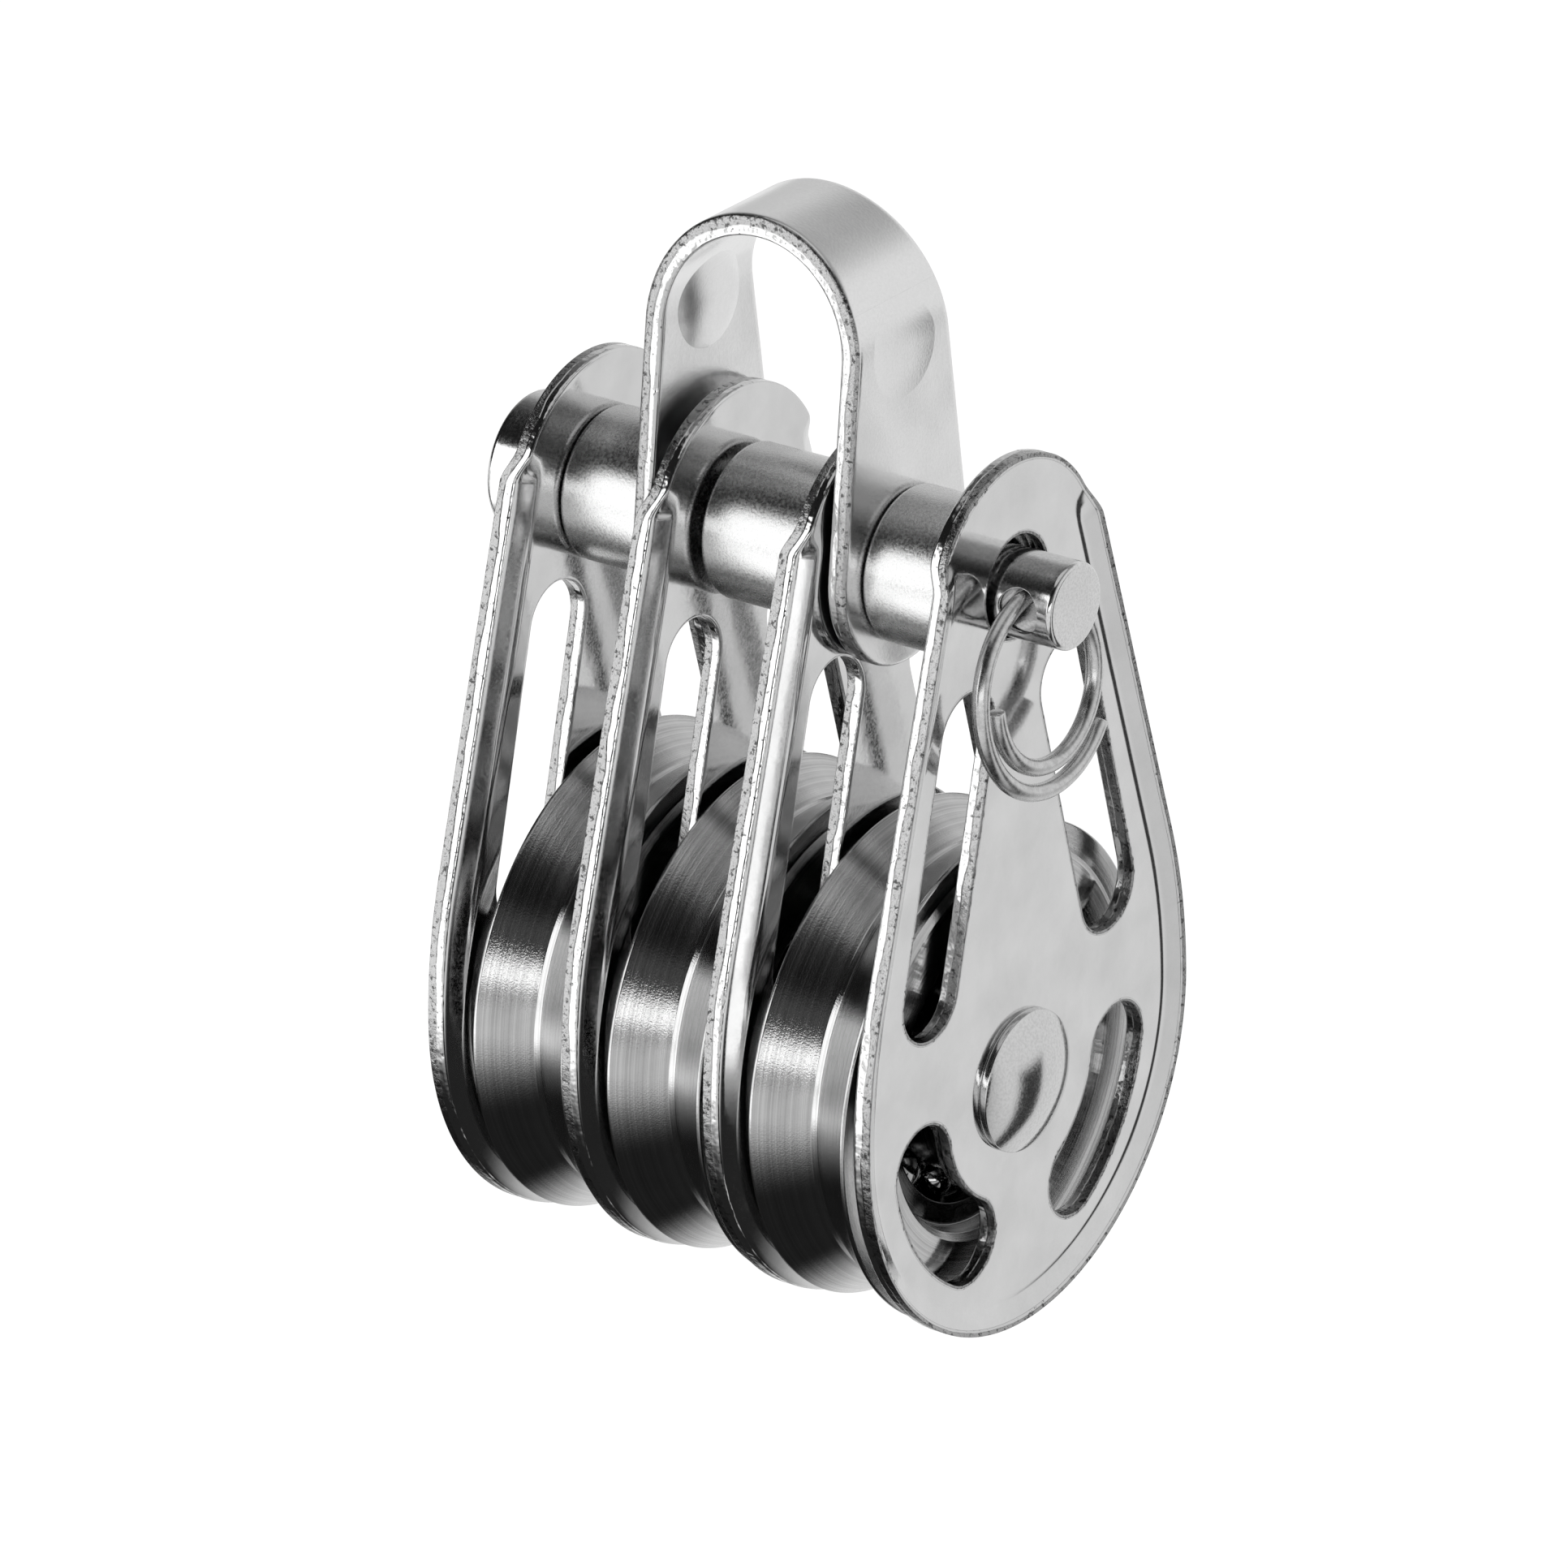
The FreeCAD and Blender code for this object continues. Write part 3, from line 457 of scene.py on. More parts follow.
def edgeProfile(thickness, border, rollOver, burr, rows=5, support=0.08):
    # (inset, height through the sheet) and how far across the cut: up over one rounded corner,
    # along the cut and over the other corner, sharper on the side where the punch left
    turn = np.linspace(0, np.pi / 2, rows)
    start = np.stack([rollOver * (1 - np.sin(turn)), rollOver * (1 - np.cos(turn))], 1)
    end = np.stack([burr * (1 - np.cos(turn)), thickness - burr * (1 - np.sin(turn))], 1)
    cut = np.stack([np.zeros(rows), np.linspace(rollOver + support, thickness - burr - support, rows)], 1)
    profile = np.concatenate([[[border, 0]], start, cut, end, [[border, thickness]]])
    across = np.clip(profile[:, 1] / thickness, 0, 1)
    across[profile[:, 0] > min(rollOver, 0.12)] = 0
    return profile, across


def makeCheek(name, facing, webPlane):
    # facing is the way the rim flares along X; webPlane is the web's flat back in millimetres
    form = cheekForm
    sheets = Sheets()
    thickness = form["thickness"]
    axleUp = span(name)[1][2] / mm - form["pinRise"] - form["headRadius"]

    def place(flat, height):
        across, up = flat[..., 0], flat[..., 1]
        return np.stack([webPlane + facing * height, across, up + axleUp], -1) * mm

    # the rim: the sheet's edge carried round the outline, lifted by the flare below the shoulders
    profile, cut = edgeProfile(thickness, form["rimBorder"], form["rollOver"], form["burr"])
    flareRows = np.append(form["webInset"], form["flareWidth"] - np.array(form["bendRows"]))
    inset = np.concatenate([flareRows, profile[:, 0], flareRows[::-1]])
    through = np.concatenate([np.zeros(len(flareRows)), profile[:, 1], np.full(len(flareRows), thickness)])
    cut = np.concatenate([np.zeros(len(flareRows)), cut, np.zeros(len(flareRows))])
    rows = np.stack([cheekOutline(value) for value in inset])
    outer = cheekOutline(0)
    below = np.clip((form["pinRise"] + form["shoulderRise"] - outer[:, 1]) / form["shoulderRamp"], 0, 1)
    flared = below * below * (3 - 2 * below)
    height = flareHeight(inset)[:, None] * flared[None, :] + through[:, None]
    sheets.addGrid(place(rows, height), closeColumns=True, mark=cut[:, None])

    # the holes: the same edge carried round each opening
    openings = [lambda grow, side=side: slotOutline(side, grow) for side in (1, -1)]
    openings += [lambda grow, side=side: windowOutline(side, grow) for side in (1, -1)]
    pinUp = form["pinRise"] + form["pinHoleLift"]
    openings.append(lambda grow: roundOutline(pinUp, form["pinHoleRadius"], grow))
    openings.append(lambda grow: roundOutline(0, form["axleHoleRadius"], grow))
    profile, cut = edgeProfile(thickness, form["holeBorder"], form["rollOver"] * 0.7, form["burr"])
    for opening in openings:
        rows = np.stack([opening(value) for value in profile[:, 0]])
        height = np.broadcast_to(profile[:, 1:2], rows.shape[:2])
        sheets.addGrid(place(rows, height), closeColumns=True, mark=cut[:, None])

    loops = [cheekOutline(form["webInset"])] + [opening(form["holeBorder"]) for opening in openings]
    for level in (0.0, thickness):
        sheets.addFill(loops, lambda flat, level=level: place(flat, np.full(len(flat), level)))
    linkPiece(name + "_plate", sheets.mesh(name), "frame", name, plateFinish)


for name, facing in (("cheek_outer_left", -1), ("cheek_inner_left", -1),
                     ("cheek_inner_right", -1), ("cheek_outer_right", 1)):
    low, high = span(name)
    makeCheek(name, facing, (high[0] if facing < 0 else low[0]) / mm)
print("cheeks made")


# Sheaves, their sleeves and balls

sheaveForm = {"rimLand": 0.4, "grooveRadius": 15.3, "grooveLand": 0.5, "corner": 0.12,
              "boreLand": 9.5, "raceDepth": 1.2335, "boreMouth": 11.3, "mouthDepth": 1.5,
              "mouthBevel": 0.5, "faceRadius": 15.2, "faceDrop": 0.35}
sleeveForm = {"land": 7.3, "bore": 3.04, "corner": 0.2}
ballForm = {"radius": 1.6, "circle": 8.4, "count": 12, "rows": 20}
# the sheave's side is painted dark inside 11.2 mm: painted shade for the bore's mouth
sheaveLook = {  # radii and heights in metres
    "light": 0.71, "dark": 0.38, "roughness": (0.08, 0.17), "lineSize": 5200, "lineHeight": 0.00001,
    "along": 0.88, "grainSize": 8500, "sparkle": 0.00001, "sparkleFrom": 0.0152, "paintedShadeTo": 0.0112,
}
sleeveLook = {"light": 0.39, "dark": 0.04, "roughness": (0.15, 0.3), "lineSize": 6000, "lineHeight": 0.00001}
ballLook = {"light": 0.5, "dark": 0.35, "roughness": (0.03, 0.09), "hazeSize": 900}

for side in ("left", "middle", "right"):
    low, high = span(f"sheave_{side}")
    centre = (low + high) / 2
    half = (high[0] - low[0]) / 2 / mm
    rim = (high[2] - low[2]) / 2 / mm
    form = sheaveForm
    groove = form["grooveLand"] / 2
    # the right-hand half of the section, from the groove round the rim and the side to the race
    floor = half - form["mouthDepth"]
    section = [
        (groove, form["grooveRadius"], 0.12), (half - form["rimLand"], rim, form["corner"]),
        (half - form["faceDrop"] * 0.3, rim, form["corner"]),
        (half - form["faceDrop"], form["faceRadius"] + 0.5, 0.05), (half, form["faceRadius"], 0.05),
        (half, form["boreMouth"] + form["mouthBevel"], 0.05),
        (half - form["mouthBevel"], form["boreMouth"], 0.05), (floor, form["boreMouth"] - 0.3, 0.2),
        (floor, form["boreLand"], 0.1), (form["raceDepth"], form["boreLand"], 0.08)]
    race = [(0, form["boreLand"] + form["raceDepth"], 0.1)]
    corners = section + race + [(-x, radius, corner) for x, radius, corner in section[::-1]]
    finish = turnedSteel(f"sheaveSteel_{side}", centre, sheaveLook)
    turnedPiece(f"sheave_{side}_turned", roundedOutline(corners), centre, f"sheave_{side}",
                f"sheave_{side}", finish, 256)

    low, high = span(f"axle_sleeve_{side}")
    start, end = low[0] / mm - centre[0] / mm, high[0] / mm - centre[0] / mm
    form = sleeveForm
    depth = sheaveForm["raceDepth"]
    corners = [
        (start, form["bore"], 0.1), (start, form["land"], form["corner"]), (-depth, form["land"], 0.1),
        (0, form["land"] - depth, 0.1), (depth, form["land"], 0.1), (end, form["land"], form["corner"]),
        (end, form["bore"], 0.1)]
    finish = turnedSteel(f"sleeveSteel_{side}", centre, sleeveLook)
    turnedPiece(f"axle_sleeve_{side}_turned", roundedOutline(corners), centre, "frame",
                f"axle_sleeve_{side}", finish, 128)


def ballSteel():
    # ground and lapped balls: almost a mirror, with the faintest haze
    material, tree, shader = newMaterial("ballSteel")
    haze = noise(tree, objectPlace(tree), ballLook["hazeSize"], 3)
    tree.links.new(grey(tree, haze, ballLook["dark"], ballLook["light"]), shader.inputs["Base Color"])
    tree.links.new(remap(tree, haze, 0.3, 0.7, *ballLook["roughness"]), shader.inputs["Roughness"])
    shader.inputs["Metallic"].default_value = 1.0
    return material


ballFinish = ballSteel()
for side in ("left", "middle", "right"):
    # each ball is a grid of latitude by longitude, closed at its poles, set round the race
    form = ballForm
    low, high = span(f"ball_set_{side}")
    centre = (low + high) / 2
    sheets = Sheets()
    latitude = np.linspace(-np.pi / 2, np.pi / 2, form["rows"])[:, None]
    longitude = np.linspace(0, 2 * np.pi, 2 * form["rows"], endpoint=False)[None, :]
    unit = np.stack([np.cos(latitude) * np.cos(longitude), np.cos(latitude) * np.sin(longitude),
                     np.sin(latitude) + 0 * longitude], -1)
    for turn in (np.arange(form["count"]) + 0.5) * 2 * np.pi / form["count"]:
        middle = centre + np.array([0, math.cos(turn), math.sin(turn)]) * form["circle"] * mm
        sheets.addGrid(unit * form["radius"] * mm + middle, closeColumns=True)
    linkPiece(f"ball_set_{side}_balls", sheets.mesh(f"ball_set_{side}"), f"balls_{side}",
              f"ball_set_{side}", ballFinish)
print("sheaves and bearings made")


# Axle rivet: shank and two domed heads

rivetForm = {"shank": 3.0, "head": 5.0, "edge": 0.5, "dome": 1.4, "brimRound": 0.1, "brimLift": 0.12,
             "seatRound": 0.08, "seatBorder": 0.3}
rivetLook = {"light": 0.76, "dark": 0.66, "roughness": (0.1, 0.18), "facetSize": 260, "facetHeight": 0.0001,
             "grainSize": 5200, "grainHeight": 0.000004}
low, high = span("axle_rivet")
axleMiddle = (low + high) / 2
form = rivetForm
tip = (high[0] - low[0]) / 2 / mm
brim = tip - form["dome"]
seat = brim - form["edge"]
domeRadius = (form["head"] ** 2 + form["dome"] ** 2) / (2 * form["dome"])
domeAngle = np.linspace(0, math.asin((form["head"] - form["brimRound"]) / domeRadius), 24)
dome = np.stack([tip - domeRadius * (1 - np.cos(domeAngle)), domeRadius * np.sin(domeAngle)], 1)
brimTurn = np.linspace(0.25, 1, 6)
brimShare = np.stack([brimTurn ** 2, np.sin(brimTurn * np.pi / 2)], 1)
brimCurve = dome[-1] + (np.array([seat + form["brimLift"], form["head"]]) - dome[-1]) * brimShare
under = [[seat, form["head"] - form["seatRound"]], [seat, form["head"] - form["seatBorder"]],
         [seat, form["shank"]]]
halfProfile = np.concatenate([dome, brimCurve, under])
profile = np.concatenate([halfProfile, halfProfile[::-1] * [-1, 1]])
rivetFinish = hammeredSteel("rivetSteel", axleMiddle, rivetLook)
turnedPiece("axle_rivet_turned", profile, axleMiddle, "frame", "axle_rivet", rivetFinish)


# Clevis pin: head, shank, chamfered end and the cross hole

pinForm = {"radius": 3.0, "headRadius": 5.1, "headThickness": 3.0, "chamfer": 0.3,
           "headRound": 0.45, "headBack": 0.2, "fillet": 0.15, "holeRadius": 1.6, "holeFromEnd": 2.62,
           "patchHalf": 2.05, "halfSteps": 48, "patchSteps": 16, "wallRows": 9}
pinLook = {"light": 0.86, "dark": 0.56, "roughness": (0.1, 0.2), "grainSize": 5200, "grainHeight": 0.000003}
low, high = span("clevis_pin")
pinAxis = np.array([0, (low[1] + high[1]) / 2, (low[2] + high[2]) / 2])
form = pinForm
headOuter, end = low[0] / mm, high[0] / mm
headInner = headOuter + form["headThickness"]
hole = end - form["holeFromEnd"]
patchStart, patchEnd = hole - form["patchHalf"], hole + form["patchHalf"]
steps = 2 * form["halfSteps"]
headSide = roundedOutline([
    (headOuter, 0, 0), (headOuter, form["headRadius"], form["headRound"]),
    (headInner, form["headRadius"], form["headBack"]), (headInner, form["radius"], form["fillet"]),
    (patchStart, form["radius"], 0)])
endSide = roundedOutline([
    (patchEnd, form["radius"], 0), (end, form["radius"], form["chamfer"]), (end, 0, 0)])
pinSheets = Sheets()
for rows in (headSide, endSide):
    pinSheets.addGrid(turnedGrid(rows, pinAxis, steps), closeColumns=True)

# round the cross hole: each half of the shank is unrolled to (x, arc), and rings run from the
# hole's own edge out to the patch's rectangle
count, lengthSteps = form["halfSteps"], form["patchSteps"]
quarter = np.pi / 2 * form["radius"]
across = np.linspace(-quarter, quarter, count + 1)
along = np.linspace(-form["patchHalf"], form["patchHalf"], lengthSteps + 1)
border = np.concatenate([
    np.stack([np.full(count, form["patchHalf"]), across[:-1]], 1),
    np.stack([along[:0:-1], np.full(lengthSteps, quarter)], 1),
    np.stack([np.full(count, -form["patchHalf"]), across[:0:-1]], 1),
    np.stack([along[:-1], np.full(lengthSteps, -quarter)], 1)])
bearing = np.arctan2(border[:, 1], border[:, 0])
holeX = form["holeRadius"] * np.cos(bearing)
holeZ = form["holeRadius"] * np.sin(bearing)
holeEdge = np.stack([holeX, form["radius"] * np.arcsin(holeZ / form["radius"])], 1)
blend = np.concatenate([[0, 0.02], np.linspace(0.08, 1, 14)])[:, None, None]
unrolled = holeEdge + (border - holeEdge) * blend
wall = np.linspace(1, -1, form["wallRows"])[:, None]
holeWall = np.stack([hole + holeX + 0 * wall, wall * np.sqrt(form["radius"] ** 2 - holeZ ** 2),
                     holeZ + 0 * wall], -1)
for side in (1, -1):
    turn = unrolled[..., 1] / form["radius"]
    shankPatch = np.stack([hole + unrolled[..., 0], side * form["radius"] * np.cos(turn),
                           form["radius"] * np.sin(turn)], -1)
    pinSheets.addGrid(shankPatch * mm + pinAxis, closeColumns=True)
pinSheets.addGrid(holeWall * mm + pinAxis, closeColumns=True)
linkPiece("clevis_pin_turned", pinSheets.mesh("clevis_pin", 2e-6), "pin", "clevis_pin",
          grainySteel("pinSteel", pinLook))


# Spacer tubes on the pin

tubeForm = {"bore": 3.3, "corner": 0.35, "boreCorner": 0.15}
tubeLook = {"light": 0.78, "dark": 0.48, "roughness": (0.2, 0.34), "grainSize": 5200, "grainHeight": 0.000016}
tubeFinish = grainySteel("tubeSteel", tubeLook)
for side in ("left", "middle", "right"):
    low, high = span(f"spacer_tube_{side}")
    centre = (low + high) / 2
    half, outside = (high[0] - low[0]) / 2 / mm, (high[2] - low[2]) / 2 / mm
    corners = [(-half, tubeForm["bore"], tubeForm["boreCorner"]), (-half, outside, tubeForm["corner"]),
               (half, outside, tubeForm["corner"]), (half, tubeForm["bore"], tubeForm["boreCorner"])]
    turnedPiece(f"spacer_tube_{side}_turned", roundedOutline(corners), centre, "pin",
                f"spacer_tube_{side}", tubeFinish)
print("axle, pin and tubes made")


# Bow: a strip bent to a hoop, its sides tapering from round eyes to the crown

bowForm = {"thickness": 1.5, "eyeRadius": 7.1, "crownHalf": 4.0, "pinHole": 3.3, "split": 8.6,
           "edgeBorder": 0.5, "roll": 0.3, "holeBorder": 0.3, "holeRound": 0.12, "columns": 12,
           "armSteps": 22, "archSteps": 97, "dimpleRadius": 3.4, "dimpleDepth": 0.4, "dimpleRise": 15.2}
bowLook = {"light": 0.95, "dark": 0.8, "roughness": (0.14, 0.26), "cloudSize": 240, "grainSize": 5200,
           "grainHeight": 0.000006, "outsideDimple": 0.25}
low, high = span("bow")
form = bowForm
bowMiddle = np.array([(low[0] + high[0]) / 2, 0, low[2] + form["eyeRadius"] * mm])
outerHalf = (high[0] - low[0]) / 2 / mm
midRadius = outerHalf - form["thickness"] / 2
crown = (high[2] - bowMiddle[2]) / mm
archRise = crown - outerHalf
reachToCrown = math.hypot(form["crownHalf"], crown)
eyeTilt = math.atan2(crown, form["crownHalf"]) - math.acos(form["eyeRadius"] / reachToCrown)


def bowHalfWidth(rise, inset):
    # the straight side, tangent to the eye's circle at the eye tilt, moved in by the inset
    return (bowForm["eyeRadius"] - inset - rise * math.sin(eyeTilt)) / math.cos(eyeTilt)


edge, edgeMark = edgeProfile(form["thickness"], form["edgeBorder"], form["roll"], form["roll"])
edgeInset, edgeThrough = edge[:, 0], edge[:, 1] - form["thickness"] / 2
side = np.linspace(-1, 1, form["columns"] + 1)
bowSheets = Sheets()

# the hoop above the eyes: stations up one arm, over the arch and down the other
armRise = np.linspace(form["split"], archRise, form["armSteps"], endpoint=False)
upright = np.ones(form["armSteps"])
archTurn = np.linspace(0, np.pi, form["archSteps"])
stationSin = np.concatenate([0 * upright, np.sin(archTurn), 0 * upright])
stationCos = np.concatenate([upright, np.cos(archTurn), -upright])
stationRise = np.concatenate([armRise, np.full(len(archTurn), archRise), armRise[::-1]])
# one cross-section: inside face, one rounded edge, outside face, the other rounded edge
face = np.ones(form["columns"] - 1)
sectionInset = np.concatenate([form["edgeBorder"] * face, edgeInset,
                               form["edgeBorder"] * face, edgeInset[::-1]])
sectionThrough = np.concatenate([edgeThrough[0] * face, edgeThrough,
                                 edgeThrough[-1] * face, edgeThrough[::-1]])
sectionSide = np.concatenate([side[1:-1], np.ones(len(edge)), side[::-1][1:-1], -np.ones(len(edge))])
sectionMark = np.concatenate([0 * face, edgeMark, 0 * face, edgeMark[::-1]])
outward = midRadius + sectionThrough
hoopX = stationCos[:, None] * outward
hoopZ = stationRise[:, None] + stationSin[:, None] * outward
hoopY = sectionSide * bowHalfWidth(hoopZ, sectionInset)
bowSheets.addGrid(np.stack([hoopX, hoopY, hoopZ], -1) * mm + bowMiddle, closeColumns=True, mark=sectionMark)

# the round ends with the pin's holes
armLine = np.linspace(form["split"], form["eyeRadius"] * math.sin(eyeTilt), 12, endpoint=False)


def eyeOutline(inset):
    # down one side, round the eye and up the other side
    turn = np.linspace(eyeTilt, -np.pi - eyeTilt, 90)
    radius = bowForm["eyeRadius"] - inset
    sideLine = np.stack([bowHalfWidth(armLine, inset), armLine], 1)
    arc = np.stack([radius * np.cos(turn), radius * np.sin(turn)], 1)
    return np.concatenate([sideLine, arc, sideLine[::-1] * [-1, 1]])


turn = np.linspace(0, 2 * np.pi, 72, endpoint=False)
holeUnit = np.stack([np.cos(turn), np.sin(turn)], 1)
holeEdge = edgeProfile(form["thickness"], form["holeBorder"], form["holeRound"], form["holeRound"])[0]
topRow = bowHalfWidth(form["split"], form["edgeBorder"]) * side[1:-1]
for arm in (1, -1):
    def placeArm(flat, through):
        return np.stack([arm * (midRadius + through), flat[..., 0], flat[..., 1]], -1) * mm + bowMiddle

    rows = np.stack([eyeOutline(inset) for inset in edgeInset])
    through = np.broadcast_to(edgeThrough[:, None], rows.shape[:2])
    bowSheets.addGrid(placeArm(rows, through), mark=edgeMark[:, None])
    rows = np.stack([holeUnit * (form["pinHole"] + inset) for inset in holeEdge[:, 0]])
    through = np.broadcast_to(holeEdge[:, 1:2] - form["thickness"] / 2, rows.shape[:2])
    bowSheets.addGrid(placeArm(rows, through), closeColumns=True)
    top = np.stack([topRow, np.full(len(topRow), form["split"])], 1)
    loops = [np.concatenate([eyeOutline(form["edgeBorder"]), top]),
             holeUnit * (form["pinHole"] + form["holeBorder"])]
    for level in (-form["thickness"] / 2, form["thickness"] / 2):
        bowSheets.addFill(loops, lambda flat, level=level: placeArm(flat, np.full(len(flat), level)))


def bowSteel():
    # satin strip with a fine grain, sheared edges, and a round dimple pressed into each arm
    form, look = bowForm, bowLook
    material, tree, shader = newMaterial("bowSteel")
    place = objectPlace(tree, bowMiddle)
    clouds = noise(tree, place, look["cloudSize"], 3)
    grain = noise(tree, place, look["grainSize"], 3, 0.6)
    shade = math2(tree, "MULTIPLY", remap(tree, grain, 0.3, 0.7, 0.6, 1),
                  remap(tree, clouds, 0.3, 0.7, 0.7, 1))
    colour = grey(tree, shade, look["dark"], look["light"])
    split = add(tree, "ShaderNodeSeparateXYZ", {0: place})
    up = math2(tree, "SUBTRACT", split.outputs[2], form["dimpleRise"] * mm)
    reach = math2(tree, "SQRT", math2(tree, "ADD", math2(tree, "POWER", split.outputs[1], 2),
                                      math2(tree, "POWER", up, 2)), 0)
    # the bowl is the square of the reach over the dimple's radius; it sinks into the outside,
    # where it is the shallower, and stands out on the inside
    inBowl = math2(tree, "MINIMUM", math2(tree, "DIVIDE", reach, form["dimpleRadius"] * mm), 1)
    outside = math2(tree, "GREATER_THAN", math2(tree, "ABSOLUTE", split.outputs[0], 0), midRadius * mm)
    pressed = math2(tree, "MULTIPLY", math2(tree, "POWER", inBowl, 2),
                    remap(tree, outside, 0, 1, -1, look["outsideDimple"]))
    grained = bump(tree, grain, 1.0, look["grainHeight"])
    surface = bump(tree, pressed, 1.0, form["dimpleDepth"] * mm, grained)
    rough = remap(tree, clouds, 0.3, 0.7, *look["roughness"])
    blendEdge(tree, shader, cutEdge(tree, place, clouds), colour, rough, surface)
    return material


linkPiece("bow_strip", bowSheets.mesh("bow", 2e-6), "bow", "bow", bowSteel())
print("bow made")


# Split ring: round wire wound to an open spiral

ringForm = {"wire": 0.6, "startRadius": 5.22, "growth": 1.68, "turns": 1.39, "lift": 0.75,
            "shift": 0.9, "tilt": 5.0, "tipRound": 0.14, "halfSteps": 120, "lastSteps": 94,
            "tipRows": 5, "sides": 28}
wireLook = {"light": 0.76, "dark": 0.46, "roughness": (0.2, 0.3), "grainSize": 2600, "grainHeight": 0.000003}
form = ringForm
reaches = form["startRadius"] + form["growth"] / 2 * np.arange(4)
lastTurn = 2 * np.pi * (form["turns"] - 1)
# the wire's line: half circles that meet on the level of the winding's centre, each wider than
# the last, drawn from the left side down and round
line, forward = [], []
for index, (side, turn) in enumerate(((-1, np.pi), (1, np.pi), (-1, lastTurn))):
    angle = np.linspace(0, turn, form["halfSteps"] if index < 2 else form["lastSteps"])
    angle = (0 if side > 0 else np.pi) + (angle[1:] if index else angle)
    radius = (reaches[index] + reaches[index + 1]) / 2
    middle = side * (reaches[index] - reaches[index + 1]) / 2
    line.append(np.stack([0 * angle, middle + radius * np.cos(angle), radius * np.sin(angle)], 1))
    forward.append(np.stack([0 * angle, -np.sin(angle), np.cos(angle)], 1))
line, forward = np.concatenate(line), np.concatenate(forward)
# a circle carried along the line, and drawn in at each end round a small edge to the cut face
tipRows = form["tipRows"]
tipTurn = np.linspace(np.pi / 2, 0, tipRows)
edgeReach = form["tipRound"] * np.sin(tipTurn)
edgeRadius = form["wire"] - form["tipRound"] * (1 - np.cos(tipTurn))
startEdge = line[0] + (form["tipRound"] - edgeReach)[:, None] * forward[0]
endEdge = line[-1] - (form["tipRound"] - edgeReach)[:, None] * forward[-1]
between = slice(tipRows - 1, 1 - tipRows)  # the line's points clear of both drawn-in tips
centres = np.concatenate([line[:1], startEdge, line[between], endEdge[::-1], line[-1:]])
along = np.concatenate([np.repeat(forward[:1], tipRows + 1, 0), forward[between],
                        np.repeat(forward[-1:], tipRows + 1, 0)])
fullWire = np.full(len(line[between]), form["wire"])
radii = np.concatenate([[0], edgeRadius, fullWire, edgeRadius[::-1], [0]])
sideways = np.array([1.0, 0, 0])
outwards = np.cross(along, sideways)
around = np.linspace(0, 2 * np.pi, form["sides"], endpoint=False)[None, :, None]
wireGrid = centres[:, None, :] + radii[:, None, None] * (
    np.cos(around) * outwards[:, None, :] + np.sin(around) * sideways)
lean = math.radians(form["tilt"])  # outwards, about the middle of the cross hole
leaning = np.array([[math.cos(lean), 0, -math.sin(lean)], [0, 1, 0], [math.sin(lean), 0, math.cos(lean)]])
hang = np.array([0, -form["shift"], form["lift"] - (reaches[1] + reaches[2]) / 2])
ringSheets = Sheets()
ringSheets.addGrid((wireGrid + hang) @ leaning.T * mm + [hole * mm, 0, pinAxis[2]], closeColumns=True)
linkPiece("split_ring_wire", ringSheets.mesh("split_ring"), "ring", "split_ring",
          grainySteel("wireSteel", wireLook))
print("split ring made")


# Floor, lights and camera

low, high = (np.array(corner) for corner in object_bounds())
floorHeight = low[2] - 0.0015
studio = {  # metres; heading is a direction over the floor or in the air
    "floorSize": 3.0, "whiteFloor": 0.94, "shadowFloor": 0.35, "bounceFloor": 0.8,
    "brightBehind": (-0.0125, -0.0045), "floorDark": 0.02, "floorBright": 0.86,
    "brightAhead": (0.026, 0.065), "aheadLevel": 0.75,
    "openRight": (0.019, 0.021), "openBehind": (-0.014, -0.01),
    "postHeading": (0.81, 0.59), "postHalf": (0.13, 0.26), "postTop": (-0.25, -0.12), "postLevel": 0.06,
    "boxHeading": (-0.6, -0.8), "boxNear": (0.045, 0.08), "boxSide": (0.03, 0.06), "boxBright": 1.0,
    "backHeading": (0.45, 0.89, 0.0), "backRise": (-0.3, 0.7), "backBright": 0.95,
    "highRise": (0.42, 0.72), "highLevel": 0.4, "roomLevel": 0.015, "topRise": (0.85, 0.9), "topLevel": 0.75,
    "frontBackdrop": (0.54, -0.73, 0.41), "backdropRise": (0.975, 0.995), "backdropLevel": 0.14,
}
lamps = {  # place and size in metres, power in watts
    "leftBox": ((-0.441, -0.63, 0.176), (0.56, 0.50), 1.5),
    "frontStrip": ((0.455, -0.653, 0.063), (0.9, 0.15), 0.8),
}
lampAim = (0, 0, -0.045)


def smoothRise(tree, source, low, high):
    return add(tree, "ShaderNodeMapRange", {0: source, 1: low, 2: high, 3: 0.0, 4: 1.0},
               interpolation_type="SMOOTHSTEP").outputs[0]


def dot(tree, vector, heading):
    product = add(tree, "ShaderNodeVectorMath", {0: vector, 1: heading}, operation="DOT_PRODUCT")
    return product.outputs["Value"]


def switch(tree, factor, first, second):
    return add(tree, "ShaderNodeMixShader", {0: factor, 1: first, 2: second}).outputs[0]


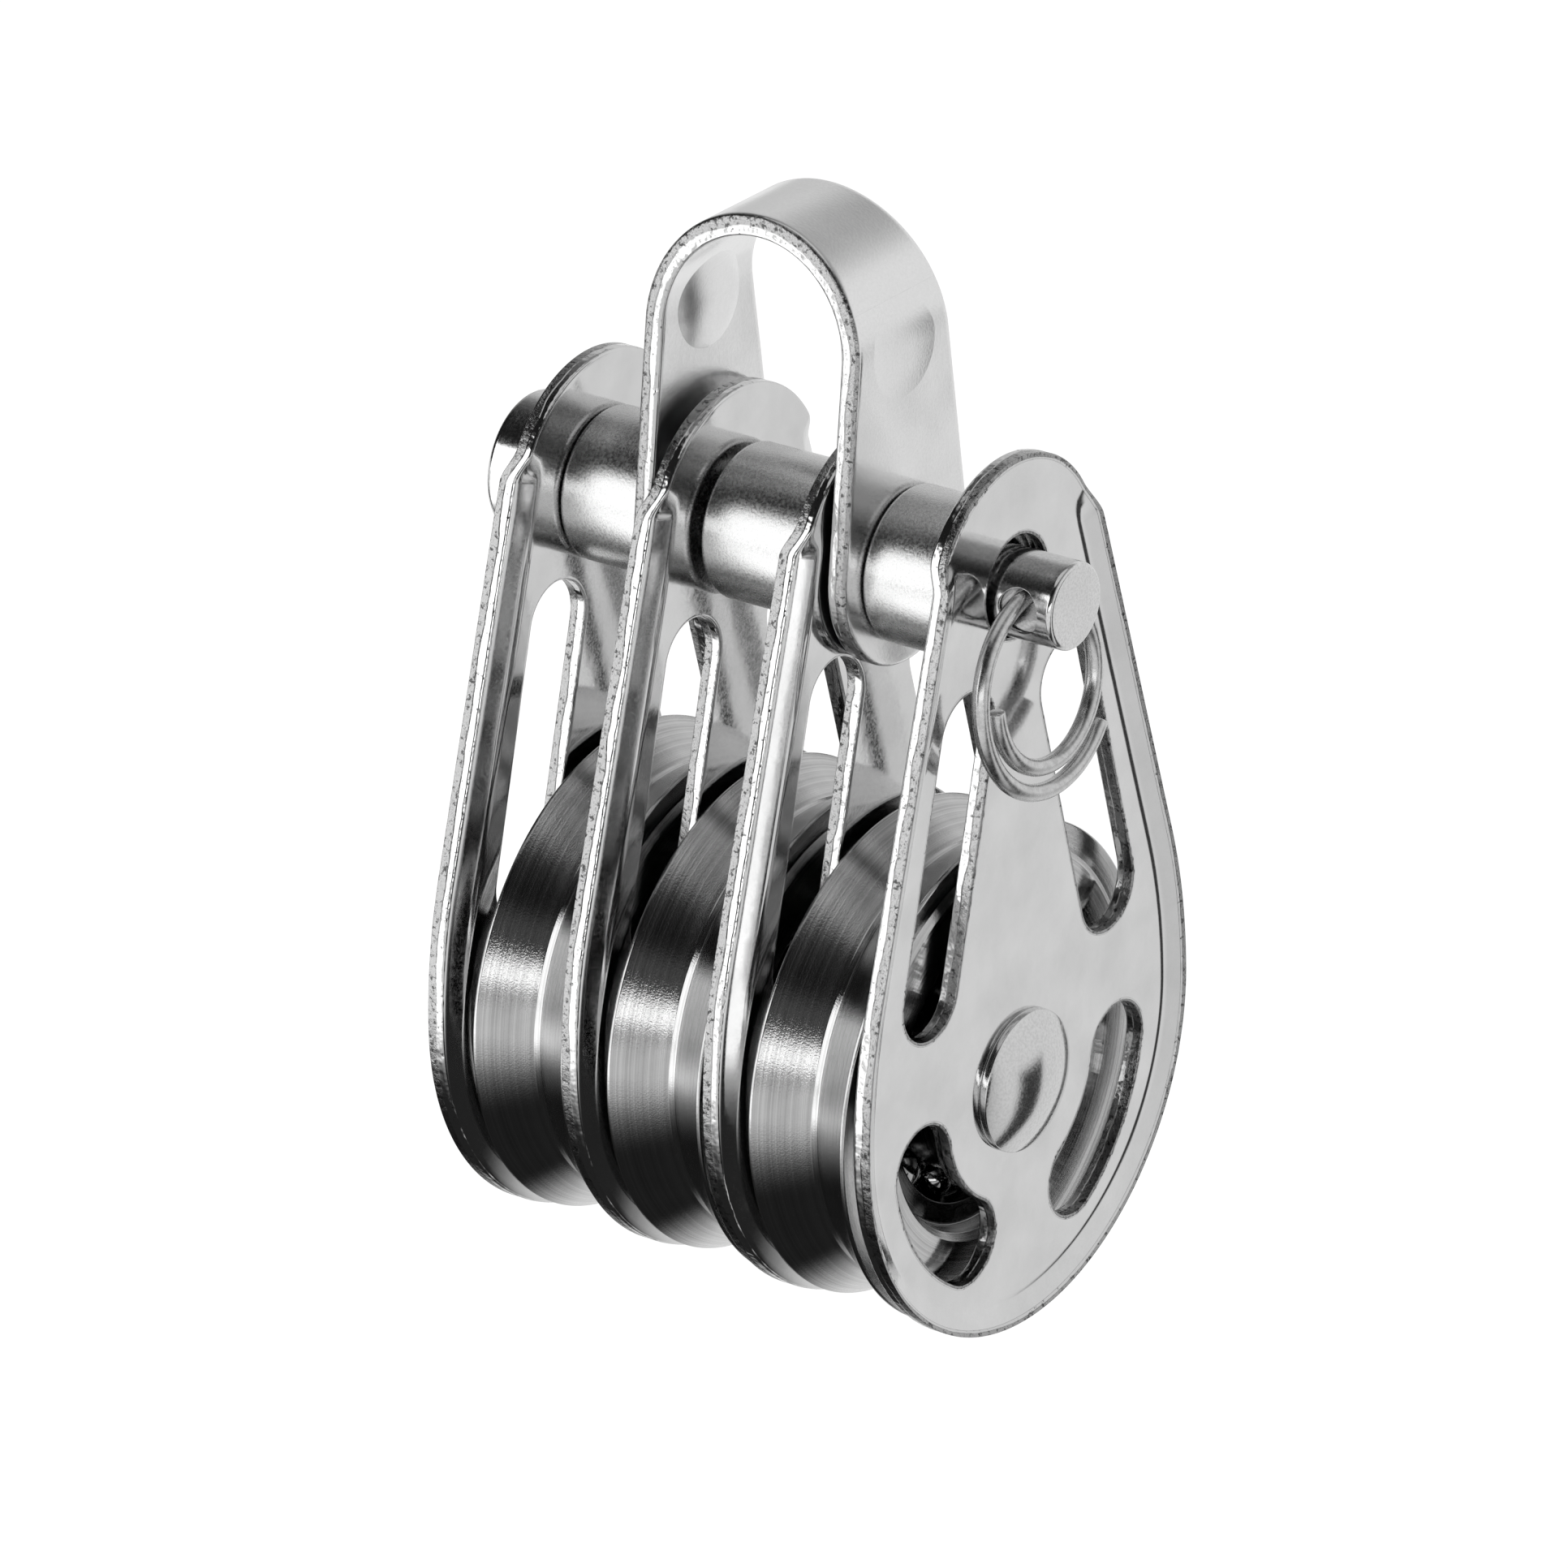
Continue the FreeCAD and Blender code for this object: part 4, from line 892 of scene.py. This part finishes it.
def makeFloor():
    # white to the camera; to the metal it is bright behind the block, dark in front of it, and
    # bright again farther ahead and where the light box stands at the left
    mesh = bpy.data.meshes.new("floor")
    reach = studio["floorSize"]
    mesh.from_pydata([(-reach, -reach, floorHeight), (reach, -reach, floorHeight),
                      (reach, reach, floorHeight), (-reach, reach, floorHeight)], [], [(0, 1, 2, 3)])
    floor = bpy.data.objects.new("floor", mesh)
    scene.collection.objects.link(floor)
    material = bpy.data.materials.new("paleFloor")
    material.use_nodes = True
    tree = material.node_tree
    tree.nodes.clear()
    place = add(tree, "ShaderNodeTexCoord").outputs["Object"]
    behind = smoothRise(tree, dot(tree, place, (0, 1, 0)), *studio["brightBehind"])
    ahead, aside = studio["boxHeading"]
    toBox = smoothRise(tree, dot(tree, place, (ahead, aside, 0)), *studio["boxNear"])
    offLine = math2(tree, "ABSOLUTE", dot(tree, place, (-aside, ahead, 0)), 0)
    besideBox = smoothRise(tree, offLine, *studio["boxSide"])
    boxLevel = math2(tree, "MULTIPLY", toBox, math2(tree, "SUBTRACT", 1.0, besideBox))
    level = math2(tree, "ADD", remap(tree, behind, 0, 1, studio["floorDark"], studio["floorBright"]),
                  math2(tree, "MULTIPLY", boxLevel, studio["boxBright"]))
    far = smoothRise(tree, dot(tree, place, (0, -1, 0)), *studio["brightAhead"])
    level = math2(tree, "ADD", level, math2(tree, "MULTIPLY", far, studio["aheadLevel"]))
    mirrored = add(tree, "ShaderNodeEmission", {"Color": (1, 1, 1, 1), "Strength": level}).outputs[0]
    # at the right the floor lets reflections through to the room's own lower half
    openSide = math2(tree, "MULTIPLY", smoothRise(tree, dot(tree, place, (1, 0, 0)), *studio["openRight"]),
                     smoothRise(tree, dot(tree, place, (0, 1, 0)), *studio["openBehind"]))
    through = add(tree, "ShaderNodeBsdfTransparent").outputs[0]
    mirrored = switch(tree, openSide, mirrored, through)
    shadowed, bounced = studio["shadowFloor"], studio["bounceFloor"]
    matt = add(tree, "ShaderNodeBsdfDiffuse", {"Color": (shadowed, shadowed, shadowed, 1)}).outputs[0]
    glow = add(tree, "ShaderNodeEmission", {
        "Color": (1, 1, 1, 1), "Strength": studio["whiteFloor"]}).outputs[0]
    seen = add(tree, "ShaderNodeAddShader", {0: matt, 1: glow}).outputs[0]
    plain = add(tree, "ShaderNodeBsdfDiffuse", {"Color": (bounced, bounced, bounced, 1)}).outputs[0]
    path = add(tree, "ShaderNodeLightPath")
    forGloss = switch(tree, path.outputs["Is Glossy Ray"], plain, mirrored)
    forCamera = switch(tree, path.outputs["Is Camera Ray"], forGloss, seen)
    add(tree, "ShaderNodeOutputMaterial", {"Surface": forCamera})
    mesh.materials.append(material)
    floor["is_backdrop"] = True


def makeWorld():
    # a dark room with a bright wall behind the block that fades upwards; white where the camera looks
    world = bpy.data.worlds.new("studio")
    scene.world = world
    world.use_nodes = True
    tree = world.node_tree
    tree.nodes.clear()
    direction = add(tree, "ShaderNodeTexCoord").outputs["Generated"]
    wall = smoothRise(tree, dot(tree, direction, studio["backHeading"]), *studio["backRise"])
    up = smoothRise(tree, dot(tree, direction, (0, 0, 1)), *studio["highRise"])
    fade = remap(tree, up, 0, 1, studio["backBright"], studio["backBright"] * studio["highLevel"])
    level = math2(tree, "ADD", math2(tree, "MULTIPLY", wall, fade), studio["roomLevel"])
    # a panel overhead, and the paler backdrop round the camera
    overhead = smoothRise(tree, dot(tree, direction, (0, 0, 1)), *studio["topRise"])
    level = math2(tree, "MAXIMUM", level, math2(tree, "MULTIPLY", overhead, studio["topLevel"]))
    backdrop = smoothRise(tree, dot(tree, direction, studio["frontBackdrop"]), *studio["backdropRise"])
    level = math2(tree, "MAXIMUM", level, math2(tree, "MULTIPLY", backdrop, studio["backdropLevel"]))
    # low at the right a dark post stands in the bright wall, and draws a line in each bend that faces it
    ahead, aside = studio["postHeading"]
    along = math2(tree, "MAXIMUM", dot(tree, direction, (ahead, aside, 0)), 0.001)
    across = dot(tree, direction, (-aside, ahead, 0))
    beside = math2(tree, "ABSOLUTE", math2(tree, "DIVIDE", across, along), 0)
    above = smoothRise(tree, dot(tree, direction, (0, 0, 1)), *studio["postTop"])
    clear = math2(tree, "MAXIMUM", smoothRise(tree, beside, *studio["postHalf"]), above)
    level = math2(tree, "MULTIPLY", level, remap(tree, clear, 0, 1, studio["postLevel"], 1))
    room = add(tree, "ShaderNodeBackground", {"Strength": level}).outputs[0]
    white = add(tree, "ShaderNodeBackground", {"Color": (1, 1, 1, 1), "Strength": 1.0}).outputs[0]
    path = add(tree, "ShaderNodeLightPath")
    forCamera = switch(tree, path.outputs["Is Camera Ray"], room, white)
    add(tree, "ShaderNodeOutputWorld", {"Surface": forCamera})


def makeLight(name, place, size, watts):
    lamp = bpy.data.lights.new(name, "AREA")
    lamp.shape = "RECTANGLE"
    lamp.size, lamp.size_y = size
    lamp.energy = watts
    light = bpy.data.objects.new(name, lamp)
    scene.collection.objects.link(light)
    light.location = place
    light.rotation_mode = "QUATERNION"
    light.rotation_quaternion = (Vector(lampAim) - Vector(place)).to_track_quat("-Z", "Y")


makeFloor()
makeWorld()
for name, (place, size, watts) in lamps.items():
    makeLight(name, place, size, watts)

cameraForm = {  # the photograph's viewpoint about the point below, in millimetres and degrees
    "azimuth": 36.5524, "elevation": 24.5185, "roll": -1.1491, "distance": 636.78,
    "aim": (-0.27, 0.0, -57.85), "shiftRight": 1.5432, "shiftUp": -15.6503, "focalPixels": 11548.6,
    "framePixels": 1932,
}


def makeCamera():
    form = cameraForm
    azimuth, elevation, roll = (math.radians(form[key]) for key in ("azimuth", "elevation", "roll"))
    back = Vector((math.sin(azimuth) * math.cos(elevation), -math.cos(azimuth) * math.cos(elevation),
                   math.sin(elevation)))
    right = Vector((math.cos(azimuth), math.sin(azimuth), 0))
    up = back.cross(right)
    rolledRight = right * math.cos(roll) + up * math.sin(roll)
    rolledUp = up * math.cos(roll) - right * math.sin(roll)
    lens = bpy.data.cameras.new("photoView")
    camera = bpy.data.objects.new("photoView", lens)
    scene.collection.objects.link(camera)
    lens.sensor_width = 36.0
    lens.lens = 36.0 * form["focalPixels"] / form["framePixels"]
    lens.clip_start, lens.clip_end = 0.05, 20.0
    place = (Vector(form["aim"]) + back * form["distance"] - rolledRight * form["shiftRight"]
             - rolledUp * form["shiftUp"]) * mm
    axes = Matrix((rolledRight, rolledUp, back)).transposed().to_4x4()
    camera.matrix_world = Matrix.Translation(place) @ axes
    scene.camera = camera


makeCamera()
scene.view_settings.view_transform = "Standard"
print("stage set")
